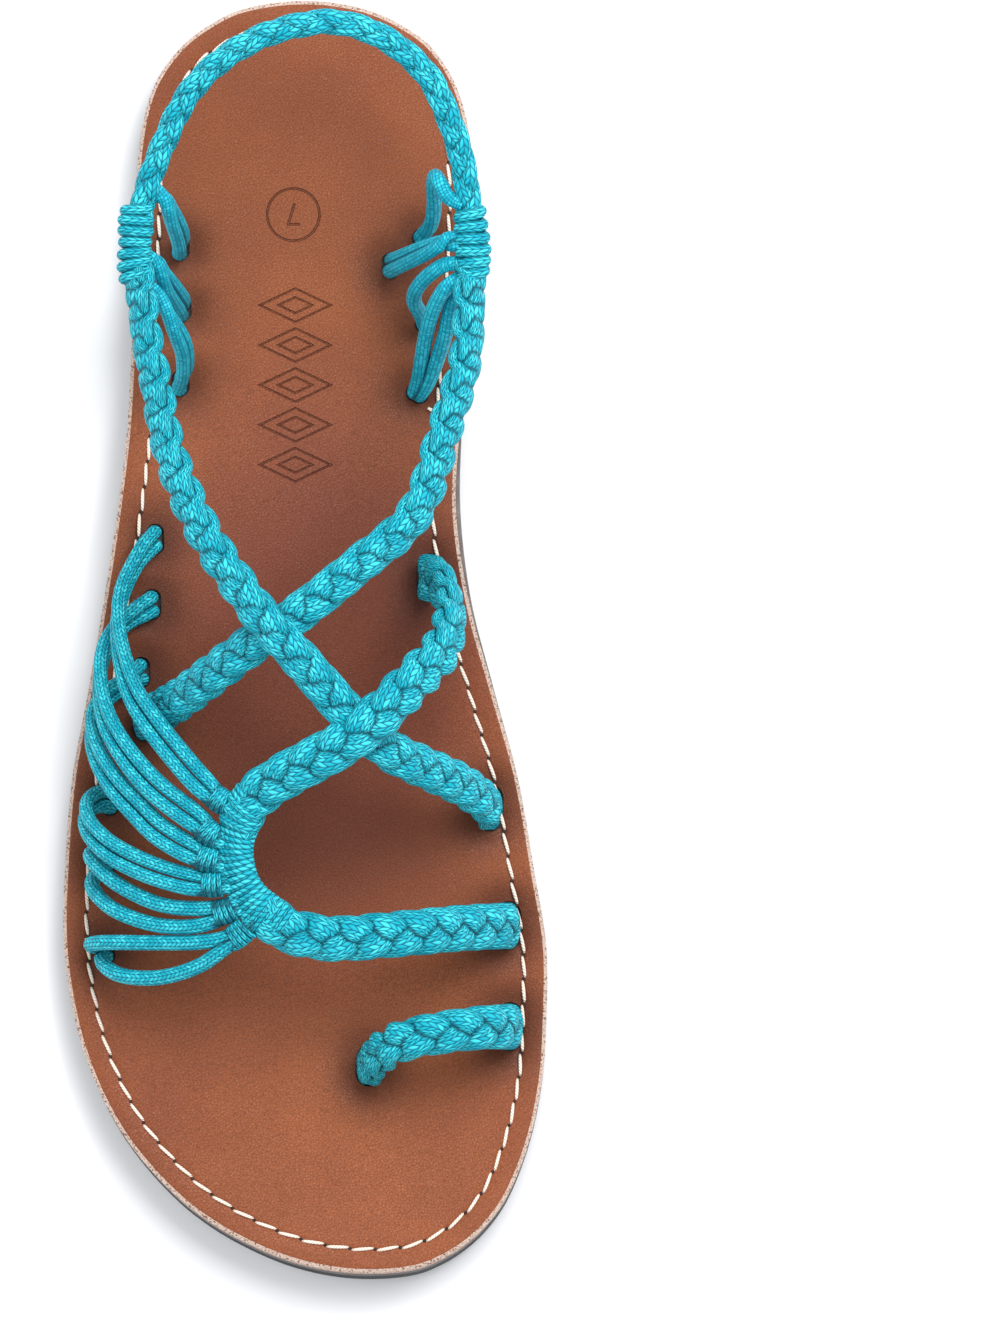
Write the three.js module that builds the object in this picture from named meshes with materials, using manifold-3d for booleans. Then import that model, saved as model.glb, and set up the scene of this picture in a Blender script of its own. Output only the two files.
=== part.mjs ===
// A slip-on sandal for the right foot: a flat layered sole and an upper of braided nylon cord.
// Millimetres. +Z is up, +Y points to the heel, -Y to the toes, +X to the inner (big toe) side.
// The origin lies on the floor under the middle of the sole's length and of its ball width.

import * as THREE from 'three';
import { mergeVertices } from 'three/addons/utils/BufferGeometryUtils.js';
import Module from 'manifold-3d';

const wasm = await Module();
wasm.setup();

// Driving dimensions of the sole.
const SOLE_LENGTH = 250;
const BALL_WIDTH = 94.5;
const OUTSOLE_THICKNESS = 4.2;
const MIDSOLE_THICKNESS = 2.7;
const INSOLE_THICKNESS = 2.5;
const LAYER_GAP = 0.3;
const TOE_SPRING = 6;
const ARCH_LIFT = 1.6;
const RIM_BEVEL = 0.5;
const GROOVE_DEPTH = 1.2;
const GROOVE_WIDTH = 2.4;
const GROOVE_PITCH = 9;
const GROOVE_RIM = 7;

// Driving dimensions of the upper.
const INSTEP_HEIGHT = 47;
const FRONT_BRAID_WIDTH = 9;
const FRONT_BRAID_THICKNESS = 4.8;
const ANKLE_BRAID_WIDTH = 8.6;
const ANKLE_BRAID_NECK = 6.4;
const ANKLE_BRAID_THICKNESS = 4.6;
const HEEL_BRAID_WIDTH = 4.9;
const HEEL_BRAID_THICKNESS = 4.6;
const ARC_WIDTH = 8.2;
const ARC_THICKNESS = 5.2;
const KNOT_WIDTH = 7;
const KNOT_THICKNESS = 6.6;
const CORD_DIAMETER = 3;
const FAN_PAIR_WIDTH = 5.5;
const SIDE_PAIR_WIDTH = 4.6;
const BRAID_LOBE = 6.5;
const HEEL_BRAID_LOBE = 6.2;
const WRAP_PITCH = 2.3;
const CLEARANCE = 0.3;
const STUB_CLEARANCE = 0.6;
const KNUCKLE_WIDTH = 4.2;
const KNUCKLE_LENGTH = 12;

const INSOLE_BASE = OUTSOLE_THICKNESS + MIDSOLE_THICKNESS + 2 * LAYER_GAP;
const INSOLE_TOP = INSOLE_BASE + INSOLE_THICKNESS;

// Plan of the sole. at is a share of the length from the heel; outer and inner are the reach to
// each side as shares of the ball width; ledge is how far the lower layers show past the insole.
const SOLE_PLAN = [
  { at: 0, outer: 0, inner: 0, ledge: 0 },
  { at: 0.007, outer: 0.133, inner: 0.129, ledge: 0 },
  { at: 0.017, outer: 0.189, inner: 0.191, ledge: 0 },
  { at: 0.035, outer: 0.253, inner: 0.259, ledge: 0 },
  { at: 0.068, outer: 0.313, inner: 0.315, ledge: 0 },
  { at: 0.115, outer: 0.342, inner: 0.344, ledge: 0 },
  { at: 0.19, outer: 0.351, inner: 0.346, ledge: 0 },
  { at: 0.327, outer: 0.365, inner: 0.326, ledge: 0.003 },
  { at: 0.398, outer: 0.386, inner: 0.322, ledge: 0.009 },
  { at: 0.468, outer: 0.415, inner: 0.344, ledge: 0.004 },
  { at: 0.539, outer: 0.448, inner: 0.392, ledge: 0 },
  { at: 0.609, outer: 0.481, inner: 0.442, ledge: 0 },
  { at: 0.68, outer: 0.496, inner: 0.475, ledge: 0 },
  { at: 0.739, outer: 0.498, inner: 0.5, ledge: 0 },
  { at: 0.798, outer: 0.475, inner: 0.5, ledge: 0 },
  { at: 0.845, outer: 0.436, inner: 0.492, ledge: 0 },
  { at: 0.892, outer: 0.371, inner: 0.467, ledge: 0 },
  { at: 0.939, outer: 0.264, inner: 0.419, ledge: 0 },
  { at: 0.962, outer: 0.185, inner: 0.376, ledge: 0 },
  { at: 0.978, outer: 0.108, inner: 0.33, ledge: 0 },
  { at: 0.99, outer: 0.03, inner: 0.277, ledge: 0 },
  { at: 0.997, outer: -0.045, inner: 0.225, ledge: 0 },
  { at: 1, outer: -0.135, inner: 0.135, ledge: 0 },
];
const PLAN_STATIONS = 48;
const SLOPE_STEP = 0.001;

// Shares of the length from the heel between which the underside is flat on the floor.
const FLAT_HEEL_END = 0.27;
const FLAT_BALL_START = 0.6;
const FLAT_BALL_END = 0.72;
const TREAD_FIELDS = [
  { from: 0.04, to: FLAT_HEEL_END },
  { from: FLAT_BALL_START, to: FLAT_BALL_END },
];

// Routes of the straps. across is a share of the ball width, along a share of the sole length,
// both from the origin; up is a share of the instep height over the insole.
const HEEL_BRAID_ROUTE = [
  { across: -0.335, along: 0.315, up: 0.67 },
  { across: -0.321, along: 0.345, up: 0.7 },
  { across: -0.278, along: 0.388, up: 0.77 },
  { across: -0.23, along: 0.422, up: 0.83 },
  { across: -0.168, along: 0.446, up: 0.88 },
  { across: -0.087, along: 0.464, up: 0.93 },
  { across: -0.01, along: 0.473, up: 0.96 },
  { across: 0.06, along: 0.476, up: 0.96 },
  { across: 0.133, along: 0.47, up: 0.94 },
  { across: 0.203, along: 0.455, up: 0.9 },
  { across: 0.261, along: 0.433, up: 0.86 },
  { across: 0.297, along: 0.405, up: 0.81 },
  { across: 0.322, along: 0.378, up: 0.75 },
  { across: 0.338, along: 0.345, up: 0.7 },
  { across: 0.343, along: 0.315, up: 0.67 },
];
const OUTER_KNOT_ROUTE = [
  { across: -0.338, along: 0.335, up: 0.7 },
  { across: -0.343, along: 0.305, up: 0.69 },
  { across: -0.341, along: 0.277, up: 0.68 },
];
const INNER_KNOT_ROUTE = [
  { across: 0.342, along: 0.331, up: 0.7 },
  { across: 0.349, along: 0.304, up: 0.69 },
  { across: 0.348, along: 0.278, up: 0.68 },
];
// From the outer knot over the instep to a slot at the inner edge.
const UPPER_ANKLE_ROUTE = [
  { across: -0.341, along: 0.293, up: 0.68 },
  { across: -0.331, along: 0.263, up: 0.69 },
  { across: -0.32, along: 0.231, up: 0.73 },
  { across: -0.303, along: 0.2, up: 0.77 },
  { across: -0.272, along: 0.144, up: 0.85 },
  { across: -0.206, along: 0.086, up: 0.94 },
  { across: -0.12, along: 0.037, up: 1 },
  { across: -0.069, along: 0.012, up: 1.01 },
  { across: -0.01, along: -0.012, up: 1 },
  { across: 0.093, along: -0.056, up: 0.89 },
  { across: 0.126, along: -0.0685, up: 0.845 },
  { across: 0.184, along: -0.086, up: 0.75 },
  { across: 0.255, along: -0.099, up: 0.59 },
  { across: 0.327, along: -0.112, up: 0.37 },
  { across: 0.374, along: -0.125, up: 0.17 },
  { across: 0.384, along: -0.131, up: 0.05 },
];
// From the inner knot under the other ankle braid to a slot at the outer edge.
const LOWER_ANKLE_ROUTE = [
  { across: 0.348, along: 0.293, up: 0.68 },
  { across: 0.345, along: 0.266, up: 0.69 },
  { across: 0.337, along: 0.218, up: 0.75 },
  { across: 0.295, along: 0.163, up: 0.83 },
  { across: 0.23, along: 0.096, up: 0.915 },
  { across: 0.114, along: 0.057, up: 0.945 },
  { across: -0.01, along: 0.02, up: 0.935 },
  { across: -0.0695, along: 0.0055, up: 0.925 },
  { across: -0.127, along: -0.01, up: 0.86 },
  { across: -0.188, along: -0.027, up: 0.73 },
  { across: -0.249, along: -0.044, up: 0.53 },
  { across: -0.295, along: -0.054, up: 0.31 },
  { across: -0.323, along: -0.06, up: 0.13 },
  { across: -0.329, along: -0.061, up: 0.05 },
];
// From a slot under the arch, over the upper ankle braid, to the wrapped arc.
const REAR_FRONT_ROUTE = [
  { across: 0.26, along: 0.049, up: 0.05 },
  { across: 0.265, along: 0.049, up: 0.13 },
  { across: 0.287, along: 0.043, up: 0.28 },
  { across: 0.304, along: 0.029, up: 0.43 },
  { across: 0.302, along: 0.008, up: 0.58 },
  { across: 0.28, along: -0.0115, up: 0.7 },
  { across: 0.235, along: -0.029, up: 0.81 },
  { across: 0.185, along: -0.0485, up: 0.885 },
  { across: 0.126, along: -0.0685, up: 0.92 },
  { across: 0.061, along: -0.085, up: 0.9 },
  { across: -0.005, along: -0.098, up: 0.845 },
  { across: -0.071, along: -0.1125, up: 0.76 },
  { across: -0.116, along: -0.128, up: 0.69 },
  { across: -0.133, along: -0.146, up: 0.65 },
];
const ARC_ROUTE = [
  { across: -0.1, along: -0.121, up: 0.71 },
  { across: -0.125, along: -0.136, up: 0.67 },
  { across: -0.136, along: -0.152, up: 0.645 },
  { across: -0.139, along: -0.168, up: 0.63 },
  { across: -0.129, along: -0.186, up: 0.62 },
  { across: -0.099, along: -0.204, up: 0.61 },
  { across: -0.042, along: -0.222, up: 0.615 },
];
// From the wrapped arc over the ball of the foot to a slot at the inner edge.
const FORE_FRONT_ROUTE = [
  { across: -0.088, along: -0.208, up: 0.61 },
  { across: -0.042, along: -0.223, up: 0.615 },
  { across: 0.059, along: -0.231, up: 0.62 },
  { across: 0.125, along: -0.23, up: 0.61 },
  { across: 0.19, along: -0.228, up: 0.575 },
  { across: 0.255, along: -0.226, up: 0.505 },
  { across: 0.32, along: -0.224, up: 0.39 },
  { across: 0.384, along: -0.223, up: 0.24 },
  { across: 0.417, along: -0.223, up: 0.11 },
  { across: 0.42, along: -0.223, up: 0.05 },
];
const TOE_LOOP_ROUTE = [
  { across: 0.425, along: -0.302, up: 0.05 },
  { across: 0.426, along: -0.3015, up: 0.12 },
  { across: 0.406, along: -0.301, up: 0.27 },
  { across: 0.371, along: -0.301, up: 0.37 },
  { across: 0.305, along: -0.3035, up: 0.44 },
  { across: 0.24, along: -0.3075, up: 0.45 },
  { across: 0.19, along: -0.313, up: 0.4 },
  { across: 0.153, along: -0.322, up: 0.27 },
  { across: 0.137, along: -0.33, up: 0.12 },
  { across: 0.134, along: -0.3325, up: 0.05 },
];

// Fan cords, each a doubled cord from the wrapped arc to a hole at the outer edge. The last two
// part into single cords.
const FAN_CORDS = [
  [{ width: FAN_PAIR_WIDTH, route: [
    { across: -0.12, along: -0.128, up: 0.68 },
    { across: -0.16, along: -0.126, up: 0.65 },
    { across: -0.209, along: -0.11, up: 0.63 },
    { across: -0.263, along: -0.087, up: 0.57 },
    { across: -0.313, along: -0.063, up: 0.5 },
    { across: -0.347, along: -0.043, up: 0.42 },
    { across: -0.368, along: -0.021, up: 0.35 },
    { across: -0.381, along: 0.003, up: 0.27 },
    { across: -0.382, along: 0.025, up: 0.2 },
    { across: -0.367, along: 0.046, up: 0.13 },
    { across: -0.335, along: 0.068, up: 0.08 },
    { across: -0.309, along: 0.079, up: 0.03 },
  ] }],
  [{ width: FAN_PAIR_WIDTH, route: [
    { across: -0.14, along: -0.156, up: 0.64 },
    { across: -0.184, along: -0.1515, up: 0.635 },
    { across: -0.209, along: -0.142, up: 0.62 },
    { across: -0.292, along: -0.118, up: 0.54 },
    { across: -0.342, along: -0.099, up: 0.47 },
    { across: -0.384, along: -0.077, up: 0.4 },
    { across: -0.408, along: -0.058, up: 0.33 },
    { across: -0.419, along: -0.037, up: 0.25 },
    { across: -0.418, along: -0.017, up: 0.17 },
    { across: -0.404, along: -0.001, up: 0.115 },
    { across: -0.376, along: 0.013, up: 0.08 },
    { across: -0.342, along: 0.022, up: 0.06 },
    { across: -0.315, along: 0.028, up: 0.03 },
  ] }],
  [{ width: FAN_PAIR_WIDTH, route: [
    { across: -0.14, along: -0.173, up: 0.62 },
    { across: -0.183, along: -0.171, up: 0.625 },
    { across: -0.209, along: -0.167, up: 0.61 },
    { across: -0.292, along: -0.149, up: 0.53 },
    { across: -0.342, along: -0.131, up: 0.46 },
    { across: -0.384, along: -0.114, up: 0.39 },
    { across: -0.416, along: -0.096, up: 0.32 },
    { across: -0.434, along: -0.079, up: 0.24 },
    { across: -0.437, along: -0.064, up: 0.16 },
    { across: -0.425, along: -0.051, up: 0.11 },
    { across: -0.397, along: -0.04, up: 0.075 },
    { across: -0.364, along: -0.032, up: 0.06 },
    { across: -0.338, along: -0.025, up: 0.03 },
  ] }],
  [{ width: FAN_PAIR_WIDTH, route: [
    { across: -0.13, along: -0.188, up: 0.61 },
    { across: -0.17, along: -0.189, up: 0.615 },
    { across: -0.21, along: -0.1885, up: 0.59 },
    { across: -0.292, along: -0.181, up: 0.51 },
    { across: -0.376, along: -0.1675, up: 0.4 },
    { across: -0.416, along: -0.157, up: 0.33 },
    { across: -0.442, along: -0.146, up: 0.25 },
    { across: -0.451, along: -0.136, up: 0.18 },
    { across: -0.444, along: -0.128, up: 0.12 },
    { across: -0.424, along: -0.124, up: 0.075 },
    { across: -0.4025, along: -0.125, up: 0.03 },
  ] }],
  [{ width: CORD_DIAMETER, route: [
    { across: -0.11, along: -0.2, up: 0.6 },
    { across: -0.15, along: -0.205, up: 0.605 },
    { across: -0.21, along: -0.208, up: 0.55 },
    { across: -0.293, along: -0.205, up: 0.47 },
    { across: -0.376, along: -0.191, up: 0.37 },
    { across: -0.416, along: -0.1795, up: 0.3 },
    { across: -0.438, along: -0.17, up: 0.22 },
    { across: -0.439, along: -0.166, up: 0.15 },
    { across: -0.427, along: -0.166, up: 0.08 },
    { across: -0.413, along: -0.171, up: 0.03 },
  ] }, { width: CORD_DIAMETER, route: [
    { across: -0.11, along: -0.204, up: 0.6 },
    { across: -0.15, along: -0.2125, up: 0.6 },
    { across: -0.21, along: -0.221, up: 0.54 },
    { across: -0.293, along: -0.2215, up: 0.44 },
    { across: -0.377, along: -0.212, up: 0.34 },
    { across: -0.417, along: -0.202, up: 0.25 },
    { across: -0.437, along: -0.1915, up: 0.165 },
    { across: -0.4315, along: -0.184, up: 0.09 },
    { across: -0.413, along: -0.179, up: 0.03 },
  ] }],
  [{ width: CORD_DIAMETER, route: [
    { across: -0.09, along: -0.212, up: 0.6 },
    { across: -0.121, along: -0.223, up: 0.605 },
    { across: -0.158, along: -0.2305, up: 0.58 },
    { across: -0.21, along: -0.234, up: 0.53 },
    { across: -0.293, along: -0.235, up: 0.43 },
    { across: -0.377, along: -0.235, up: 0.33 },
    { across: -0.419, along: -0.2355, up: 0.25 },
    { across: -0.439, along: -0.237, up: 0.17 },
    { across: -0.4315, along: -0.239, up: 0.09 },
    { across: -0.413, along: -0.24, up: 0.03 },
  ] }, { width: CORD_DIAMETER, route: [
    { across: -0.09, along: -0.214, up: 0.6 },
    { across: -0.121, along: -0.227, up: 0.6 },
    { across: -0.165, along: -0.24, up: 0.57 },
    { across: -0.21, along: -0.252, up: 0.5 },
    { across: -0.294, along: -0.262, up: 0.38 },
    { across: -0.373, along: -0.261, up: 0.28 },
    { across: -0.41, along: -0.254, up: 0.18 },
    { across: -0.418, along: -0.248, up: 0.09 },
    { across: -0.411, along: -0.247, up: 0.03 },
  ] }],
];

// Side cords from the outer knot, rear to front.
const OUTER_SIDE_CORDS = [
  [{ width: SIDE_PAIR_WIDTH, route: [
    { across: -0.318, along: 0.352, up: 0.69 },
    { across: -0.283, along: 0.341, up: 0.67 },
    { across: -0.27, along: 0.33, up: 0.57 },
    { across: -0.257, along: 0.318, up: 0.38 },
    { across: -0.253, along: 0.31, up: 0.19 },
    { across: -0.257, along: 0.307, up: 0.05 },
  ] }],
  [{ width: SIDE_PAIR_WIDTH, route: [
    { across: -0.335, along: 0.297, up: 0.66 },
    { across: -0.3, along: 0.292, up: 0.64 },
    { across: -0.284, along: 0.28, up: 0.55 },
    { across: -0.265, along: 0.269, up: 0.36 },
    { across: -0.253, along: 0.262, up: 0.17 },
    { across: -0.253, along: 0.259, up: 0.05 },
  ] }],
  [{ width: SIDE_PAIR_WIDTH, route: [
    { across: -0.325, along: 0.276, up: 0.61 },
    { across: -0.292, along: 0.264, up: 0.61 },
    { across: -0.27, along: 0.247, up: 0.56 },
    { across: -0.247, along: 0.228, up: 0.4 },
    { across: -0.245, along: 0.211, up: 0.21 },
    { across: -0.257, along: 0.201, up: 0.05 },
  ] }],
];
// Side cords from the inner knot, rear to front.
const INNER_SIDE_CORDS = [
  [{ width: CORD_DIAMETER, route: [
    { across: 0.328, along: 0.337, up: 0.7 },
    { across: 0.297, along: 0.343, up: 0.7 },
    { across: 0.281, along: 0.354, up: 0.69 },
    { across: 0.272, along: 0.359, up: 0.62 },
    { across: 0.268, along: 0.353, up: 0.5 },
    { across: 0.269, along: 0.339, up: 0.35 },
    { across: 0.261, along: 0.324, up: 0.17 },
    { across: 0.241, along: 0.315, up: 0.05 },
  ] }],
  [{ width: SIDE_PAIR_WIDTH, route: [
    { across: 0.33, along: 0.309, up: 0.69 },
    { across: 0.297, along: 0.308, up: 0.68 },
    { across: 0.259, along: 0.303, up: 0.59 },
    { across: 0.216, along: 0.297, up: 0.41 },
    { across: 0.185, along: 0.293, up: 0.2 },
    { across: 0.178, along: 0.293, up: 0.05 },
  ] }],
  [{ width: CORD_DIAMETER, route: [
    { across: 0.33, along: 0.291, up: 0.66 },
    { across: 0.297, along: 0.291, up: 0.65 },
    { across: 0.259, along: 0.283, up: 0.57 },
    { across: 0.232, along: 0.272, up: 0.45 },
    { across: 0.228, along: 0.263, up: 0.32 },
    { across: 0.241, along: 0.254, up: 0.18 },
    { across: 0.247, along: 0.2475, up: 0.05 },
  ] }],
  [{ width: CORD_DIAMETER, route: [
    { across: 0.325, along: 0.281, up: 0.65 },
    { across: 0.297, along: 0.274, up: 0.64 },
    { across: 0.274, along: 0.262, up: 0.57 },
    { across: 0.255, along: 0.242, up: 0.43 },
    { across: 0.245, along: 0.223, up: 0.28 },
    { across: 0.236, along: 0.204, up: 0.13 },
    { across: 0.228, along: 0.194, up: 0.05 },
  ] }, { width: CORD_DIAMETER, route: [
    { across: 0.33, along: 0.281, up: 0.58 },
    { across: 0.307, along: 0.264, up: 0.53 },
    { across: 0.294, along: 0.241, up: 0.43 },
    { across: 0.28, along: 0.224, up: 0.32 },
    { across: 0.263, along: 0.207, up: 0.18 },
    { across: 0.247, along: 0.196, up: 0.09 },
    { across: 0.238, along: 0.192, up: 0.05 },
  ] }],
];

// Lines along the foot that the faces of the straps turn away from.
const FOOT_AXIS = { across: 0.05, up: 0.25 };
const BIG_TOE_AXIS = { across: 0.28, up: 0.15 };
const FAN_AXIS = { across: -0.12, up: 0.12 };
const SIDE_AXIS = { across: 0, up: 0.3 };

// Sections as shares of half the width and half the thickness, counter-clockwise.
const PLAIT_SECTION = [
  { across: 1, out: -0.05 },
  { across: 0.58, out: 1 },
  { across: 0, out: 0.74 },
  { across: -0.58, out: 1 },
  { across: -1, out: -0.05 },
  { across: -0.55, out: -0.95 },
  { across: 0.55, out: -0.95 },
];
const PAIR_SECTION = [
  { across: 1, out: 0 },
  { across: 0.5, out: 0.97 },
  { across: 0, out: 0.45 },
  { across: -0.5, out: 0.97 },
  { across: -1, out: 0 },
  { across: -0.5, out: -0.97 },
  { across: 0, out: -0.45 },
  { across: 0.5, out: -0.97 },
];
const CORNER_MITER = 1.3;
const WRAP_SIDES = 8;
const WRAP_POWER = 0.8;
const CORD_SIDES = 6;
const LOBE_SWELL = 0.1;
const LOBE_RISE = 0.22;
const LOBE_SHIFT = 0.16;
const WRAP_SWELL = 0.05;
const RINGS_PER_LOBE = 3;
const CORD_STEP = 4.6;
const WRAP_STEP = WRAP_PITCH / 2;

const TEAL_CORD = { color: 0x1cbfd2, roughness: 0.55, metalness: 0 };
const TAN_LEATHER = { color: 0xb26444, roughness: 0.5, metalness: 0 };
const GREY_FOAM = { color: 0x7d7a78, roughness: 0.9, metalness: 0 };
const BLACK_RUBBER = { color: 0x17191d, roughness: 0.8, metalness: 0 };

// Height of the underside over the floor, at a share of the length from the heel.
function solePlane(at) {
  const archSpan = FLAT_BALL_START - FLAT_HEEL_END;
  const archAt = THREE.MathUtils.clamp((at - FLAT_HEEL_END) / archSpan, 0, 1);
  const toeAt = Math.max(0, (at - FLAT_BALL_END) / (1 - FLAT_BALL_END));
  return ARCH_LIFT * Math.sin(Math.PI * archAt) ** 2 + TOE_SPRING * toeAt ** 2;
}

function shareFromHeel(y) {
  return 0.5 - y / SOLE_LENGTH;
}

function insoleTopAt(y) {
  return solePlane(shareFromHeel(y)) + INSOLE_TOP;
}

// Smooth curve through one column of the plan. It runs on an even angle so that the round ends
// of the sole come out round.
function planCurve(column) {
  const knots = SOLE_PLAN.map((row) => Math.acos(1 - 2 * row.at) / Math.PI);
  const values = SOLE_PLAN.map((row) => row[column]);
  const last = knots.length - 1;
  const slopes = values.map((value, i) => {
    const before = Math.max(0, i - 1);
    const after = Math.min(last, i + 1);
    return (values[after] - values[before]) / (knots[after] - knots[before]);
  });
  return (angle) => {
    let i = 0;
    while (i < last - 1 && angle > knots[i + 1]) i += 1;
    const span = knots[i + 1] - knots[i];
    const t = THREE.MathUtils.clamp((angle - knots[i]) / span, 0, 1);
    const rise = values[i + 1] - values[i];
    const a = slopes[i] * span - rise;
    const b = rise - slopes[i + 1] * span;
    return values[i] + rise * t + t * (1 - t) * (a * (1 - t) + b * t);
  };
}

const outerReach = planCurve('outer');
const innerReach = planCurve('inner');
const innerLedge = planCurve('ledge');

// Turns rings of points into a closed geometry, with a fan over each end.
function ringsToGeometry(rings) {
  const sides = rings[0].length;
  const positions = rings.flat().flatMap((p) => [p.x, p.y, p.z]);
  const index = [];
  for (let r = 0; r + 1 < rings.length; r += 1) {
    for (let s = 0; s < sides; s += 1) {
      const a = r * sides + s;
      const b = r * sides + ((s + 1) % sides);
      index.push(a, b, b + sides, a, b + sides, a + sides);
    }
  }
  [0, rings.length - 1].forEach((r) => {
    const centre = rings[r].reduce((sum, p) => sum.add(p), new THREE.Vector3()).divideScalar(sides);
    const hub = positions.length / 3;
    positions.push(centre.x, centre.y, centre.z);
    for (let s = 0; s < sides; s += 1) {
      const a = r * sides + s;
      const b = r * sides + ((s + 1) % sides);
      index.push(...(r === 0 ? [hub, b, a] : [hub, a, b]));
    }
  });
  const geometry = new THREE.BufferGeometry();
  geometry.setAttribute('position', new THREE.Float32BufferAttribute(positions, 3));
  geometry.setIndex(index);
  return geometry;
}

// One layer of the sole between two heights over its curved underside. hasLedge draws the inner
// edge in, so that the layer below shows there, and bevel breaks the top edge.
function soleLayer(low, high, hasLedge, bevel) {
  const rings = [];
  for (let i = 1; i < PLAN_STATIONS; i += 1) {
    const angle = i / PLAN_STATIONS;
    const at = (1 - Math.cos(Math.PI * angle)) / 2;
    const y = (0.5 - at) * SOLE_LENGTH;
    const left = -outerReach(angle) * BALL_WIDTH;
    const ledge = hasLedge ? innerLedge(angle) : 0;
    const right = (innerReach(angle) - ledge) * BALL_WIDTH;
    const climb = solePlane(at + SLOPE_STEP) - solePlane(at - SLOPE_STEP);
    const slope = climb / (2 * SLOPE_STEP * SOLE_LENGTH);
    const lean = Math.hypot(1, slope);
    const edge = Math.min(bevel, (right - left) / 4);
    const place = (x, height) => new THREE.Vector3(
      x,
      y + (height * slope) / lean,
      solePlane(at) + height / lean,
    );
    const ring = [place(left, low), place(right, low), place(right, high - bevel)];
    if (bevel > 0) ring.push(place(right - edge, high), place(left + edge, high));
    ring.push(place(left, high - bevel));
    rings.push(ring);
  }
  return ringsToGeometry(rings);
}

function toSolid(geometry) {
  const bare = geometry.index ? geometry.clone() : geometry;
  bare.deleteAttribute('normal');
  bare.deleteAttribute('uv');
  const merged = mergeVertices(bare, 1e-5);
  return new wasm.Manifold(new wasm.Mesh({
    numProp: 3,
    vertProperties: new Float32Array(merged.attributes.position.array),
    triVerts: new Uint32Array(merged.index.array),
  }));
}

function toGeometry(solid) {
  const mesh = solid.getMesh();
  const geometry = new THREE.BufferGeometry();
  geometry.setAttribute('position', new THREE.BufferAttribute(mesh.vertProperties, 3));
  geometry.setIndex(new THREE.BufferAttribute(mesh.triVerts, 1));
  return geometry;
}

function joinAll(solids) {
  return solids.reduce((whole, next) => whole.add(next));
}

// The largest body of a solid, after a cut that may leave crumbs.
function largest(solid) {
  return solid.decompose().reduce((a, b) => (b.volume() > a.volume() ? b : a));
}

function placeOf(row) {
  const y = row.along * SOLE_LENGTH;
  return new THREE.Vector3(row.across * BALL_WIDTH, y, insoleTopAt(y) + row.up * INSTEP_HEIGHT);
}

// Even steps along the smooth curve through a route, each with its direction, its outward
// direction and its distance from the start. An end that is sewn in runs straight down to just
// over the midsole. grow makes both ends longer, by what a cutting tool needs.
function walkRoute(rows, step, axis, sewn, grow) {
  const points = rows.map(placeOf);
  const curve = new THREE.CatmullRomCurve3(points, false, 'centripetal');
  const count = Math.max(4, Math.round(curve.getLength() / step));
  const places = curve.getSpacedPoints(count);
  const stubEnd = INSOLE_BASE - LAYER_GAP + STUB_CLEARANCE;
  const sink = (p) => new THREE.Vector3(p.x, p.y, solePlane(shareFromHeel(p.y)) + stubEnd);
  if (sewn.start) places.unshift(sink(places[0]));
  if (sewn.end) places.push(sink(places[places.length - 1]));
  let distance = 0;
  const walk = places.map((point, i) => {
    const before = places[Math.max(0, i - 1)];
    const after = places[Math.min(places.length - 1, i + 1)];
    if (i > 0) distance += point.distanceTo(before);
    const along = after.clone().sub(before).normalize();
    const out = new THREE.Vector3(0, 0, 1);
    if (axis) {
      const middle = insoleTopAt(point.y) + axis.up * INSTEP_HEIGHT;
      out.set(point.x - axis.across * BALL_WIDTH, 0, point.z - middle);
    }
    out.addScaledVector(along, -out.dot(along)).normalize();
    return { point, along, out, distance };
  });
  if (grow > 0) {
    const longer = (end, isSewn, sign) => {
      const reach = isSewn ? grow + STUB_CLEARANCE : grow;
      return { ...end, point: end.point.clone().addScaledVector(end.along, sign * reach) };
    };
    walk.unshift(longer(walk[0], sewn.start, -1));
    walk.push(longer(walk[walk.length - 1], sewn.end, 1));
  }
  return walk;
}

// Sweeps a section along a route. shape gives the section's points at a distance, in
// millimetres across and out.
function sweep(walk, shape) {
  const total = walk[walk.length - 1].distance;
  const rings = walk.map(({ point, along, out, distance }) => {
    const side = new THREE.Vector3().crossVectors(out, along);
    return shape(distance, total).map(({ across, out: rise }) => point.clone()
      .addScaledVector(side, across)
      .addScaledVector(out, rise));
  });
  return toSolid(ringsToGeometry(rings));
}

// A corner of a section moved out by a clearance: sideways at the two edges, up or down between.
function growCorner(across, out, isEdge, grow) {
  const miter = CORNER_MITER * grow;
  return isEdge
    ? { across: across + Math.sign(across) * miter, out }
    : { across, out: out + Math.sign(out) * miter };
}

// A flat three-strand braid: one wall whose strips swell and rise in turn on its two sides.
function plaitShape(startWidth, endWidth, thickness, lobe, grow) {
  return (distance, total) => {
    const share = distance / total;
    const halfWidth = THREE.MathUtils.lerp(startWidth, endWidth, share) / 2;
    const halfThickness = thickness / 2;
    return PLAIT_SECTION.map(({ across, out }) => {
      const turn = (2 * Math.PI * distance) / lobe + (across < 0 ? Math.PI : 0);
      const wave = Math.cos(turn);
      if (across === 0) {
        return growCorner(-LOBE_SHIFT * halfWidth * wave, out * halfThickness, false, grow);
      }
      const swell = halfWidth * (1 + (LOBE_SWELL * (wave - 1)) / 2);
      const rise = halfThickness * (1 + (LOBE_RISE * (wave - 1)) / 2);
      return growCorner(across * swell, out * rise, Math.abs(across) === 1, grow);
    });
  };
}

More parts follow.
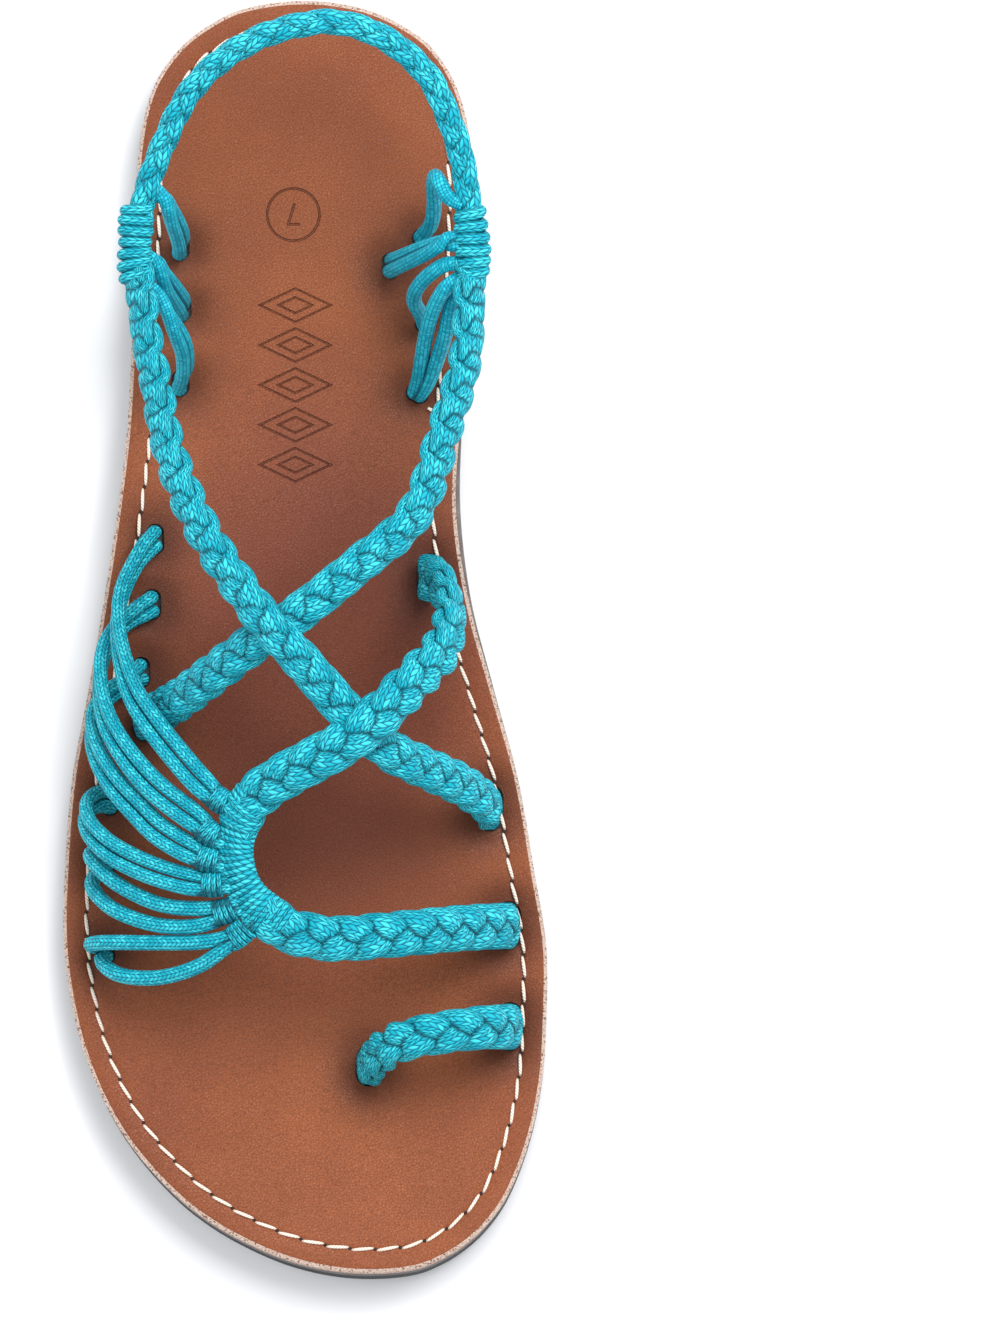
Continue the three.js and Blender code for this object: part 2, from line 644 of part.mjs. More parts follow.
// A band or knot whipped round with cord, ribbed at every turn.
function wrapShape(width, thickness, grow) {
  return (distance) => {
    const swell = 1 + WRAP_SWELL * (Math.cos((2 * Math.PI * distance) / WRAP_PITCH) - 1);
    const sides = [...Array(WRAP_SIDES).keys()];
    return sides.map((side) => {
      const turn = (2 * Math.PI * side) / WRAP_SIDES;
      const cos = Math.cos(turn);
      const sin = Math.sin(turn);
      return {
        across: Math.sign(cos) * Math.abs(cos) ** WRAP_POWER * ((width / 2) * swell + grow),
        out: Math.sign(sin) * Math.abs(sin) ** WRAP_POWER * ((thickness / 2) * swell + grow),
      };
    });
  };
}

// A round cord, or two side by side where the width is more than one cord's. Two lie closer
// together where they come out of a knuckle.
function cordShape(width, grow) {
  const half = CORD_DIAMETER / 2;
  if (width > CORD_DIAMETER) {
    return (distance) => {
      const spread = THREE.MathUtils.smoothstep(distance, 0, KNUCKLE_LENGTH);
      const halfWidth = THREE.MathUtils.lerp(KNUCKLE_WIDTH, width, spread) / 2;
      return PAIR_SECTION.map(({ across, out }) => (
        growCorner(across * halfWidth, out * half, Math.abs(across) === 1, grow)
      ));
    };
  }
  const cornerGrow = grow / Math.cos(Math.PI / CORD_SIDES);
  return () => [...Array(CORD_SIDES).keys()].map((side) => ({
    across: Math.cos((2 * Math.PI * side) / CORD_SIDES) * (half + cornerGrow),
    out: Math.sin((2 * Math.PI * side) / CORD_SIDES) * (half + cornerGrow),
  }));
}

// Which ends of a strap are sewn into the sole.
const BOTH_ENDS = { start: true, end: true };
const START_ONLY = { start: true, end: false };
const END_ONLY = { start: false, end: true };
const NO_END = { start: false, end: false };

// Every strap that is joined into the upper. grow makes the same form wider all round, for
// cutting what lies against it.
function upperStraps(grow) {
  const plaitStep = BRAID_LOBE / RINGS_PER_LOBE;
  const front = plaitShape(
    FRONT_BRAID_WIDTH, FRONT_BRAID_WIDTH, FRONT_BRAID_THICKNESS, BRAID_LOBE, grow,
  );
  const ankle = plaitShape(
    ANKLE_BRAID_NECK, ANKLE_BRAID_WIDTH, ANKLE_BRAID_THICKNESS, BRAID_LOBE, grow,
  );
  const heel = plaitShape(
    HEEL_BRAID_WIDTH, HEEL_BRAID_WIDTH, HEEL_BRAID_THICKNESS, HEEL_BRAID_LOBE, grow,
  );
  const arc = wrapShape(ARC_WIDTH, ARC_THICKNESS, grow);
  const knot = wrapShape(KNOT_WIDTH, KNOT_THICKNESS, grow);
  const heelStep = HEEL_BRAID_LOBE / RINGS_PER_LOBE;
  return [
    sweep(walkRoute(REAR_FRONT_ROUTE, plaitStep, FOOT_AXIS, START_ONLY, grow), front),
    sweep(walkRoute(ARC_ROUTE, WRAP_STEP, FOOT_AXIS, NO_END, grow), arc),
    sweep(walkRoute(FORE_FRONT_ROUTE, plaitStep, FOOT_AXIS, END_ONLY, grow), front),
    sweep(walkRoute(UPPER_ANKLE_ROUTE, plaitStep, FOOT_AXIS, END_ONLY, grow), ankle),
    sweep(walkRoute(LOWER_ANKLE_ROUTE, plaitStep, FOOT_AXIS, END_ONLY, grow), ankle),
    sweep(walkRoute(HEEL_BRAID_ROUTE, heelStep, null, NO_END, grow), heel),
    sweep(walkRoute(OUTER_KNOT_ROUTE, WRAP_STEP, null, NO_END, grow), knot),
    sweep(walkRoute(INNER_KNOT_ROUTE, WRAP_STEP, null, NO_END, grow), knot),
  ];
}

// The short braid over the big toe, sewn into the sole at both ends.
function toeLoop(grow) {
  const step = BRAID_LOBE / RINGS_PER_LOBE;
  const shape = plaitShape(
    FRONT_BRAID_WIDTH, FRONT_BRAID_WIDTH, FRONT_BRAID_THICKNESS, BRAID_LOBE, grow,
  );
  return sweep(walkRoute(TOE_LOOP_ROUTE, step, BIG_TOE_AXIS, BOTH_ENDS, grow), shape);
}

// One cord node, made of one or two strands that meet at their ends.
function cord(strands, axis, grow) {
  return joinAll(strands.map(({ width, route }) => sweep(
    walkRoute(route, CORD_STEP, axis, END_ONLY, grow),
    cordShape(width, grow),
  )));
}

// Grooves across the underside of the heel and the ball, kept back from the edge.
function treadGrooves() {
  return TREAD_FIELDS.flatMap(({ from, to }) => {
    const count = Math.floor(((to - from) * SOLE_LENGTH) / GROOVE_PITCH);
    return [...Array(count).keys()].map((n) => {
      const at = from + ((n + 0.5) * GROOVE_PITCH) / SOLE_LENGTH;
      const angle = Math.acos(1 - 2 * at) / Math.PI;
      const left = -outerReach(angle) * BALL_WIDTH + GROOVE_RIM;
      const right = innerReach(angle) * BALL_WIDTH - GROOVE_RIM;
      const box = new THREE.BoxGeometry(right - left, GROOVE_WIDTH, 2 * GROOVE_DEPTH);
      box.translate((left + right) / 2, (0.5 - at) * SOLE_LENGTH, 0);
      return toSolid(box);
    });
  });
}

function addPiece(group, name, solid, finish) {
  const mesh = new THREE.Mesh(toGeometry(solid), new THREE.MeshStandardMaterial(finish));
  mesh.name = name;
  group.add(mesh);
}

const upper = joinAll(upperStraps(0));
const upperRoom = joinAll(upperStraps(CLEARANCE));
const cordNodes = [
  ...FAN_CORDS.map((strands, i) => ({ name: `fan_cord_${i + 1}`, strands, axis: FAN_AXIS })),
  ...OUTER_SIDE_CORDS.map((strands, i) => (
    { name: `side_cord_outer_${i + 1}`, strands, axis: SIDE_AXIS }
  )),
  ...INNER_SIDE_CORDS.map((strands, i) => (
    { name: `side_cord_inner_${i + 1}`, strands, axis: SIDE_AXIS }
  )),
];
const cordRooms = cordNodes.map(({ strands, axis }) => cord(strands, axis, CLEARANCE));

const midsoleLow = OUTSOLE_THICKNESS + LAYER_GAP;
const outsole = treadGrooves().reduce(
  (solid, groove) => solid.subtract(groove),
  toSolid(soleLayer(0, OUTSOLE_THICKNESS, false, 0)),
);
const midsole = toSolid(soleLayer(midsoleLow, midsoleLow + MIDSOLE_THICKNESS, false, 0));
const insole = [upperRoom, toeLoop(CLEARANCE), ...cordRooms].reduce(
  (solid, room) => solid.subtract(room),
  toSolid(soleLayer(INSOLE_BASE, INSOLE_TOP, true, RIM_BEVEL)),
);

const sandal = new THREE.Group();
addPiece(sandal, 'outsole', outsole, BLACK_RUBBER);
addPiece(sandal, 'midsole', midsole, GREY_FOAM);
addPiece(sandal, 'insole', insole, TAN_LEATHER);
addPiece(sandal, 'upper', upper, TEAL_CORD);
addPiece(sandal, 'toe_loop', toeLoop(0), TEAL_CORD);
cordNodes.forEach(({ name, strands, axis }, i) => {
  const rooms = [upperRoom, ...cordRooms.slice(0, i)];
  const whole = cord(strands, axis, 0);
  const solid = largest(rooms.reduce((rest, room) => rest.subtract(room), whole));
  addPiece(sandal, name, solid, TEAL_CORD);
});

export default sandal;
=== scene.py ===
"""A slip-on sandal for the right foot, with a braided cord upper, seen from straight above.

Metres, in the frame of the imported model: +Z up, +Y to the heel, +X to the inner side of the foot.
The sole is three thin layers. The upper is three-strand braids, cord wound round them, and doubled
cords that go down through holes in the footbed.
"""

import logging
import math
from dataclasses import dataclass, field
from enum import Enum
from typing import Sequence

import bpy
import numpy as np
from mathutils.bvhtree import BVHTree
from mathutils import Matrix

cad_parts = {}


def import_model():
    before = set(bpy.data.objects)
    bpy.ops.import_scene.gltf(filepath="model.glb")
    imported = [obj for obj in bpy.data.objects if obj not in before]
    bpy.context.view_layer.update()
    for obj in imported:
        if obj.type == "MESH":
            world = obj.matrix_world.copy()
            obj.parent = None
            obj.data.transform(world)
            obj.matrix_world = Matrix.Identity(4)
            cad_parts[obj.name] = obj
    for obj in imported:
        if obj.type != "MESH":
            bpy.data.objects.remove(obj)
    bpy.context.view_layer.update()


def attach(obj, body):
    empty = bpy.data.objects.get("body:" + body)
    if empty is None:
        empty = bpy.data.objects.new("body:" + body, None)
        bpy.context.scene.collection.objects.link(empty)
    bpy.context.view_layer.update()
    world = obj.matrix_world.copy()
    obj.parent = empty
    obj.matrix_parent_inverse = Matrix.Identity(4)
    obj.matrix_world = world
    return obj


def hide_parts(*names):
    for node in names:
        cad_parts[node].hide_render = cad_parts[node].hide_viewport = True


LOG = logging.getLogger("sandal")
MM = 0.001
BODY = "root"

# Driving dimensions, as in the part.
SOLE_LENGTH = 250 * MM
BALL_WIDTH = 94.5 * MM
OUTSOLE_THICKNESS = 4.2 * MM
MIDSOLE_THICKNESS = 2.7 * MM
INSOLE_THICKNESS = 2.5 * MM
LAYER_GAP = 0.3 * MM
TOE_SPRING = 6 * MM
ARCH_LIFT = 1.6 * MM
INSTEP_HEIGHT = 47 * MM
FRONT_BRAID_WIDTH = 9 * MM
FRONT_BRAID_THICKNESS = 4.8 * MM
ANKLE_BRAID_WIDTH = 8.6 * MM
ANKLE_BRAID_NECK = 6.4 * MM
ANKLE_BRAID_THICKNESS = 4.6 * MM
HEEL_BRAID_WIDTH = 4.9 * MM
HEEL_BRAID_THICKNESS = 4.6 * MM
ARC_WIDTH = 8.2 * MM
ARC_THICKNESS = 5.2 * MM
KNOT_WIDTH = 7 * MM
KNOT_THICKNESS = 6.6 * MM
CORD_DIAMETER = 3 * MM
FAN_PAIR_WIDTH = 5.5 * MM
SIDE_PAIR_WIDTH = 4.6 * MM
KNUCKLE_WIDTH = 4.2 * MM
KNUCKLE_LENGTH = 12 * MM
BRAID_LOBE = 6.5 * MM
HEEL_BRAID_LOBE = 6.2 * MM

# Sizes that only the dressed sandal has.
TOE_LOOP_NECK = 7.6 * MM
CORD_END_GAP = 0.3 * MM
# Half width of the painted shade in the seams between tubes, and where the painted shade on a section's
# flanks starts.
SEAM_SHADE = 0.85 * MM
FLANK_SHADE_START = 0.6
SHARP_ANGLE = math.radians(35)
MERGE_DISTANCE = 0.01 * MM

MIDSOLE_BASE = OUTSOLE_THICKNESS + LAYER_GAP
INSOLE_BASE = MIDSOLE_BASE + MIDSOLE_THICKNESS + LAYER_GAP
INSOLE_TOP = INSOLE_BASE + INSOLE_THICKNESS

# Shares of the length from the heel between which the underside is flat on the floor.
FLAT_HEEL_END = 0.27
FLAT_BALL_START = 0.6
FLAT_BALL_END = 0.72

Rows = Sequence[tuple[float, ...]]

# Plan of the sole: share of the length from the heel, reach to the outer and to the inner side as
# shares of the ball width, and how far the lower layers show past the footbed.
SOLE_PLAN: Rows = (
    (0, 0, 0, 0),
    (0.007, 0.133, 0.129, 0),
    (0.017, 0.189, 0.191, 0),
    (0.035, 0.253, 0.259, 0),
    (0.068, 0.313, 0.315, 0),
    (0.115, 0.342, 0.344, 0),
    (0.19, 0.351, 0.346, 0),
    (0.327, 0.365, 0.326, 0.003),
    (0.398, 0.386, 0.322, 0.009),
    (0.468, 0.415, 0.344, 0.004),
    (0.539, 0.448, 0.392, 0),
    (0.609, 0.481, 0.442, 0),
    (0.68, 0.496, 0.475, 0),
    (0.739, 0.498, 0.5, 0),
    (0.798, 0.475, 0.5, 0),
    (0.845, 0.436, 0.492, 0),
    (0.892, 0.371, 0.467, 0),
    (0.939, 0.264, 0.419, 0),
    (0.962, 0.185, 0.376, 0),
    (0.978, 0.108, 0.33, 0),
    (0.99, 0.03, 0.277, 0),
    (0.997, -0.045, 0.225, 0),
    (1, -0.135, 0.135, 0),
)

# Routes of the straps: across as a share of the ball width, along as a share of the sole length,
# up as a share of the instep height over the footbed.
HEEL_BRAID_ROUTE: Rows = (
    (-0.335, 0.315, 0.67),
    (-0.321, 0.345, 0.7),
    (-0.278, 0.388, 0.77),
    (-0.23, 0.422, 0.83),
    (-0.168, 0.446, 0.88),
    (-0.087, 0.464, 0.93),
    (-0.01, 0.473, 0.96),
    (0.06, 0.476, 0.96),
    (0.133, 0.47, 0.94),
    (0.203, 0.455, 0.9),
    (0.261, 0.433, 0.86),
    (0.297, 0.405, 0.81),
    (0.322, 0.378, 0.75),
    (0.338, 0.345, 0.7),
    (0.343, 0.315, 0.67),
)
OUTER_KNOT_ROUTE: Rows = (
    (-0.338, 0.335, 0.7),
    (-0.343, 0.305, 0.69),
    (-0.341, 0.277, 0.68),
)
INNER_KNOT_ROUTE: Rows = (
    (0.342, 0.331, 0.7),
    (0.349, 0.304, 0.69),
    (0.348, 0.278, 0.68),
)
UPPER_ANKLE_ROUTE: Rows = (
    (-0.341, 0.293, 0.68),
    (-0.331, 0.263, 0.69),
    (-0.32, 0.231, 0.73),
    (-0.303, 0.2, 0.77),
    (-0.272, 0.144, 0.85),
    (-0.206, 0.086, 0.94),
    (-0.12, 0.037, 1),
    (-0.069, 0.012, 1.01),
    (-0.01, -0.012, 1),
    (0.093, -0.056, 0.89),
    (0.126, -0.0685, 0.845),
    (0.184, -0.086, 0.75),
    (0.255, -0.099, 0.59),
    (0.327, -0.112, 0.37),
    (0.374, -0.125, 0.17),
    (0.384, -0.131, 0.05),
)
LOWER_ANKLE_ROUTE: Rows = (
    (0.348, 0.293, 0.68),
    (0.345, 0.266, 0.69),
    (0.337, 0.218, 0.75),
    (0.295, 0.163, 0.83),
    (0.23, 0.096, 0.915),
    (0.114, 0.057, 0.945),
    (-0.01, 0.02, 0.935),
    (-0.0695, 0.0055, 0.925),
    (-0.127, -0.01, 0.86),
    (-0.188, -0.027, 0.73),
    (-0.249, -0.044, 0.53),
    (-0.295, -0.054, 0.31),
    (-0.323, -0.06, 0.13),
    (-0.329, -0.061, 0.05),
)
REAR_FRONT_ROUTE: Rows = (
    (0.26, 0.049, 0.05),
    (0.265, 0.049, 0.13),
    (0.287, 0.043, 0.28),
    (0.304, 0.029, 0.43),
    (0.302, 0.008, 0.58),
    (0.28, -0.0115, 0.7),
    (0.235, -0.029, 0.81),
    (0.185, -0.0485, 0.885),
    (0.126, -0.0685, 0.92),
    (0.061, -0.085, 0.9),
    (-0.005, -0.098, 0.845),
    (-0.071, -0.1125, 0.76),
    (-0.116, -0.128, 0.69),
    (-0.133, -0.146, 0.65),
)
ARC_ROUTE: Rows = (
    (-0.1, -0.121, 0.71),
    (-0.125, -0.136, 0.67),
    (-0.136, -0.152, 0.645),
    (-0.139, -0.168, 0.63),
    (-0.129, -0.186, 0.62),
    (-0.099, -0.204, 0.61),
    (-0.042, -0.222, 0.615),
)
FORE_FRONT_ROUTE: Rows = (
    (-0.088, -0.208, 0.61),
    (-0.042, -0.223, 0.615),
    (0.059, -0.231, 0.62),
    (0.125, -0.23, 0.61),
    (0.19, -0.228, 0.575),
    (0.255, -0.226, 0.505),
    (0.32, -0.224, 0.39),
    (0.384, -0.223, 0.24),
    (0.417, -0.223, 0.11),
    (0.42, -0.223, 0.05),
)
TOE_LOOP_ROUTE: Rows = (
    (0.425, -0.302, 0.05),
    (0.426, -0.3015, 0.12),
    (0.406, -0.301, 0.27),
    (0.371, -0.301, 0.37),
    (0.305, -0.3035, 0.44),
    (0.24, -0.3075, 0.45),
    (0.19, -0.313, 0.4),
    (0.153, -0.322, 0.27),
    (0.137, -0.33, 0.12),
    (0.134, -0.3325, 0.05),
)

# Fan cords from the wrapped arc to the outer edge, as (width, route) for each strand.
FAN_CORDS: Sequence[Sequence[tuple[float, Rows]]] = (
    ((FAN_PAIR_WIDTH, (
        (-0.12, -0.128, 0.68),
        (-0.16, -0.126, 0.65),
        (-0.209, -0.11, 0.63),
        (-0.263, -0.087, 0.57),
        (-0.313, -0.063, 0.5),
        (-0.347, -0.043, 0.42),
        (-0.368, -0.021, 0.35),
        (-0.381, 0.003, 0.27),
        (-0.382, 0.025, 0.2),
        (-0.367, 0.046, 0.13),
        (-0.335, 0.068, 0.08),
        (-0.309, 0.079, 0.03),
    )),),
    ((FAN_PAIR_WIDTH, (
        (-0.14, -0.156, 0.64),
        (-0.184, -0.1515, 0.635),
        (-0.209, -0.142, 0.62),
        (-0.292, -0.118, 0.54),
        (-0.342, -0.099, 0.47),
        (-0.384, -0.077, 0.4),
        (-0.408, -0.058, 0.33),
        (-0.419, -0.037, 0.25),
        (-0.418, -0.017, 0.17),
        (-0.404, -0.001, 0.115),
        (-0.376, 0.013, 0.08),
        (-0.342, 0.022, 0.06),
        (-0.315, 0.028, 0.03),
    )),),
    ((FAN_PAIR_WIDTH, (
        (-0.14, -0.173, 0.62),
        (-0.183, -0.171, 0.625),
        (-0.209, -0.167, 0.61),
        (-0.292, -0.149, 0.53),
        (-0.342, -0.131, 0.46),
        (-0.384, -0.114, 0.39),
        (-0.416, -0.096, 0.32),
        (-0.434, -0.079, 0.24),
        (-0.437, -0.064, 0.16),
        (-0.425, -0.051, 0.11),
        (-0.397, -0.04, 0.075),
        (-0.364, -0.032, 0.06),
        (-0.338, -0.025, 0.03),
    )),),
    ((FAN_PAIR_WIDTH, (
        (-0.13, -0.188, 0.61),
        (-0.17, -0.189, 0.615),
        (-0.21, -0.1885, 0.59),
        (-0.292, -0.181, 0.51),
        (-0.376, -0.1675, 0.4),
        (-0.416, -0.157, 0.33),
        (-0.442, -0.146, 0.25),
        (-0.451, -0.136, 0.18),
        (-0.444, -0.128, 0.12),
        (-0.424, -0.124, 0.075),
        (-0.4025, -0.125, 0.03),
    )),),
    ((CORD_DIAMETER, (
        (-0.11, -0.2, 0.6),
        (-0.15, -0.205, 0.605),
        (-0.21, -0.208, 0.55),
        (-0.293, -0.205, 0.47),
        (-0.376, -0.191, 0.37),
        (-0.416, -0.1795, 0.3),
        (-0.438, -0.17, 0.22),
        (-0.439, -0.166, 0.15),
        (-0.427, -0.166, 0.08),
        (-0.413, -0.171, 0.03),
    )), (CORD_DIAMETER, (
        (-0.11, -0.204, 0.6),
        (-0.15, -0.2125, 0.6),
        (-0.21, -0.221, 0.54),
        (-0.293, -0.2215, 0.44),
        (-0.377, -0.212, 0.34),
        (-0.417, -0.202, 0.25),
        (-0.437, -0.1915, 0.165),
        (-0.4315, -0.184, 0.09),
        (-0.413, -0.179, 0.03),
    ))),
    ((CORD_DIAMETER, (
        (-0.09, -0.212, 0.6),
        (-0.121, -0.223, 0.605),
        (-0.158, -0.2305, 0.58),
        (-0.21, -0.234, 0.53),
        (-0.293, -0.235, 0.43),
        (-0.377, -0.235, 0.33),
        (-0.419, -0.2355, 0.25),
        (-0.439, -0.237, 0.17),
        (-0.4315, -0.239, 0.09),
        (-0.413, -0.24, 0.03),
    )), (CORD_DIAMETER, (
        (-0.09, -0.214, 0.6),
        (-0.121, -0.227, 0.6),
        (-0.165, -0.24, 0.57),
        (-0.21, -0.252, 0.5),
        (-0.294, -0.262, 0.38),
        (-0.373, -0.261, 0.28),
        (-0.41, -0.254, 0.18),
        (-0.418, -0.248, 0.09),
        (-0.411, -0.247, 0.03),
    ))),
)
OUTER_SIDE_CORDS: Sequence[Sequence[tuple[float, Rows]]] = (
    ((SIDE_PAIR_WIDTH, (
        (-0.318, 0.352, 0.69),
        (-0.283, 0.341, 0.67),
        (-0.27, 0.33, 0.57),
        (-0.257, 0.318, 0.38),
        (-0.253, 0.31, 0.19),
        (-0.257, 0.307, 0.05),
    )),),
    ((SIDE_PAIR_WIDTH, (
        (-0.335, 0.297, 0.66),
        (-0.3, 0.292, 0.64),
        (-0.284, 0.28, 0.55),
        (-0.265, 0.269, 0.36),
        (-0.253, 0.262, 0.17),
        (-0.253, 0.259, 0.05),
    )),),
    ((SIDE_PAIR_WIDTH, (
        (-0.325, 0.276, 0.61),
        (-0.292, 0.264, 0.61),
        (-0.27, 0.247, 0.56),
        (-0.247, 0.228, 0.4),
        (-0.245, 0.211, 0.21),
        (-0.257, 0.201, 0.05),
    )),),
)
INNER_SIDE_CORDS: Sequence[Sequence[tuple[float, Rows]]] = (
    ((CORD_DIAMETER, (
        (0.328, 0.337, 0.7),
        (0.297, 0.343, 0.7),
        (0.281, 0.354, 0.69),
        (0.272, 0.359, 0.62),
        (0.268, 0.353, 0.5),
        (0.269, 0.339, 0.35),
        (0.261, 0.324, 0.17),
        (0.241, 0.315, 0.05),
    )),),
    ((SIDE_PAIR_WIDTH, (
        (0.33, 0.309, 0.69),
        (0.297, 0.308, 0.68),
        (0.259, 0.303, 0.59),
        (0.216, 0.297, 0.41),
        (0.185, 0.293, 0.2),
        (0.178, 0.293, 0.05),
    )),),
    ((CORD_DIAMETER, (
        (0.33, 0.291, 0.66),
        (0.297, 0.291, 0.65),
        (0.259, 0.283, 0.57),
        (0.232, 0.272, 0.45),
        (0.228, 0.263, 0.32),
        (0.241, 0.254, 0.18),
        (0.247, 0.2475, 0.05),
    )),),
    ((CORD_DIAMETER, (
        (0.325, 0.281, 0.65),
        (0.297, 0.274, 0.64),
        (0.274, 0.262, 0.57),
        (0.255, 0.242, 0.43),
        (0.245, 0.223, 0.28),
        (0.236, 0.204, 0.13),
        (0.228, 0.194, 0.05),
    )), (CORD_DIAMETER, (
        (0.33, 0.281, 0.58),
        (0.307, 0.264, 0.53),
        (0.294, 0.241, 0.43),
        (0.28, 0.224, 0.32),
        (0.263, 0.207, 0.18),
        (0.247, 0.196, 0.09),
        (0.238, 0.192, 0.05),
    ))),
)

# Lines along the foot that the faces of the straps turn away from: across and up, as shares.
FOOT_AXIS = (0.05, 0.25)
BIG_TOE_AXIS = (0.28, 0.15)
FAN_AXIS = (-0.12, 0.12)
SIDE_AXIS = (0.0, 0.3)


class Sewn(Enum):
    """Which ends of a strap go down into the footbed."""

    NONE = (False, False)
    START = (True, False)
    END = (False, True)
    BOTH = (True, True)


def unit(vectors: np.ndarray) -> np.ndarray:
    """Rows of vectors at length one."""
    lengths = np.linalg.norm(vectors, axis=-1, keepdims=True)
    return vectors / np.maximum(lengths, 1e-12)


def ease(values: np.ndarray | float) -> np.ndarray | float:
    """Smooth step from 0 to 1 of values between 0 and 1."""
    held = np.clip(values, 0, 1)
    return held * held * (3 - 2 * held)


class SolePlan:
    """The outline of the sole and the curve of its underside."""

    def __init__(self, rows: Rows) -> None:
        """Args:
            rows: the plan's table, from heel to toe.
        """
        table = np.array(rows, float)
        self.knots = np.arccos(1 - 2 * table[:, 0]) / math.pi
        self.outer = table[:, 1]
        self.inner = table[:, 2]
        self.ledge = table[:, 3]

    def reach(self, column: np.ndarray, angle: np.ndarray) -> np.ndarray:
        """Smooth curve through one column of the plan.

        Args:
            column: the column's values.
            angle: places along the sole, as even shares of a half turn.

        Returns:
            The column's value at each place.
        """
        last = len(self.knots) - 1
        before = np.maximum(np.arange(last + 1) - 1, 0)
        after = np.minimum(np.arange(last + 1) + 1, last)
        slopes = (column[after] - column[before]) / (self.knots[after] - self.knots[before])
        i = np.clip(np.searchsorted(self.knots, angle, side="left") - 1, 0, last - 1)
        span = self.knots[i + 1] - self.knots[i]
        t = np.clip((angle - self.knots[i]) / span, 0, 1)
        rise = column[i + 1] - column[i]
        a = slopes[i] * span - rise
        b = rise - slopes[i + 1] * span
        return column[i] + rise * t + t * (1 - t) * (a * (1 - t) + b * t)

    @staticmethod
    def underside(y: np.ndarray) -> np.ndarray:
        """Height of the underside over the floor.

        Args:
            y: places along the foot.

        Returns:
            The height at each place.
        """
        at = 0.5 - y / SOLE_LENGTH
        arch = np.clip((at - FLAT_HEEL_END) / (FLAT_BALL_START - FLAT_HEEL_END), 0, 1)
        toe = np.maximum(0, (at - FLAT_BALL_END) / (1 - FLAT_BALL_END))
        return ARCH_LIFT * np.sin(math.pi * arch) ** 2 + TOE_SPRING * toe**2

    def place(self, flat: np.ndarray, height: np.ndarray) -> np.ndarray:
        """Points at a height over the underside, square to its curve.

        Args:
            flat: x and y of each point.
            height: height of each point over the underside.

        Returns:
            x, y and z of each point.
        """
        step = 0.25 * MM
        y = flat[..., 1]
        climb = (self.underside(y - step) - self.underside(y + step)) / (2 * step)
        lean = np.hypot(1, climb)
        up = self.underside(y) + height / lean
        return np.stack([flat[..., 0], y + height * climb / lean, up], axis=-1)

    def top_at(self, y: np.ndarray) -> np.ndarray:
        """Height of the footbed at a place along the foot."""
        return self.underside(y) + INSOLE_TOP

    def edges(self, stations: int, has_ledge: bool, inset: float) -> tuple[np.ndarray, np.ndarray]:
        """The outer and the inner edge from heel to toe.

        Args:
            stations: number of steps along the sole.
            has_ledge: whether the inner edge is drawn in.
            inset: how far inside the outline the edges run.

        Returns:
            x and y of the points of each edge.
        """
        angle = np.linspace(0, 1, stations + 1)
        y = (0.5 - (1 - np.cos(math.pi * angle)) / 2) * SOLE_LENGTH
        ledge = self.reach(self.ledge, angle) if has_ledge else 0
        outer = np.stack([-self.reach(self.outer, angle) * BALL_WIDTH, y], axis=1)
        inner = np.stack([(self.reach(self.inner, angle) - ledge) * BALL_WIDTH, y], axis=1)
        loop = np.vstack([outer, inner[-2:0:-1]])
        ahead = np.roll(loop, -1, axis=0) - np.roll(loop, 1, axis=0)
        inward = unit(np.stack([-ahead[:, 1], ahead[:, 0]], axis=1))
        moved = loop + inward * inset
        outer_in = moved[: stations + 1]
        inner_in = np.vstack([moved[:1], moved[:stations:-1], moved[stations : stations + 1]])
        return outer_in, inner_in


PLAN = SolePlan(SOLE_PLAN)


@dataclass
class Walk:
    """Even steps along a strap, with the directions of its section."""

    point: np.ndarray
    along: np.ndarray
    side: np.ndarray
    out: np.ndarray
    distance: np.ndarray

    @property
    def length(self) -> float:
        """Whole length of the walk."""
        return float(self.distance[-1])


def smooth_curve(points: np.ndarray, per_span: int = 24) -> np.ndarray:
    """Centripetal curve through a route's points.

    Args:
        points: the route's points.
        per_span: number of steps between two points.

    Returns:
        Dense points along the curve.
    """
    ends = np.vstack([2 * points[0] - points[1], points, 2 * points[-1] - points[-2]])
    spans = []
    for i in range(len(points) - 1):
        p0, p1, p2, p3 = ends[i : i + 4]
        d0, d1, d2 = (np.linalg.norm(b - a) ** 0.5 for a, b in ((p0, p1), (p1, p2), (p2, p3)))
        t1 = ((p1 - p0) / d0 - (p2 - p0) / (d0 + d1) + (p2 - p1) / d1) * d1
        t2 = ((p2 - p1) / d1 - (p3 - p1) / (d1 + d2) + (p3 - p2) / d2) * d1
        t = np.linspace(0, 1, per_span, endpoint=False)[:, None]
        square = -3 * p1 + 3 * p2 - 2 * t1 - t2
        cube = 2 * p1 - 2 * p2 + t1 + t2
        spans.append(p1 + t1 * t + square * t**2 + cube * t**3)
    return np.vstack([*spans, points[-1:]])


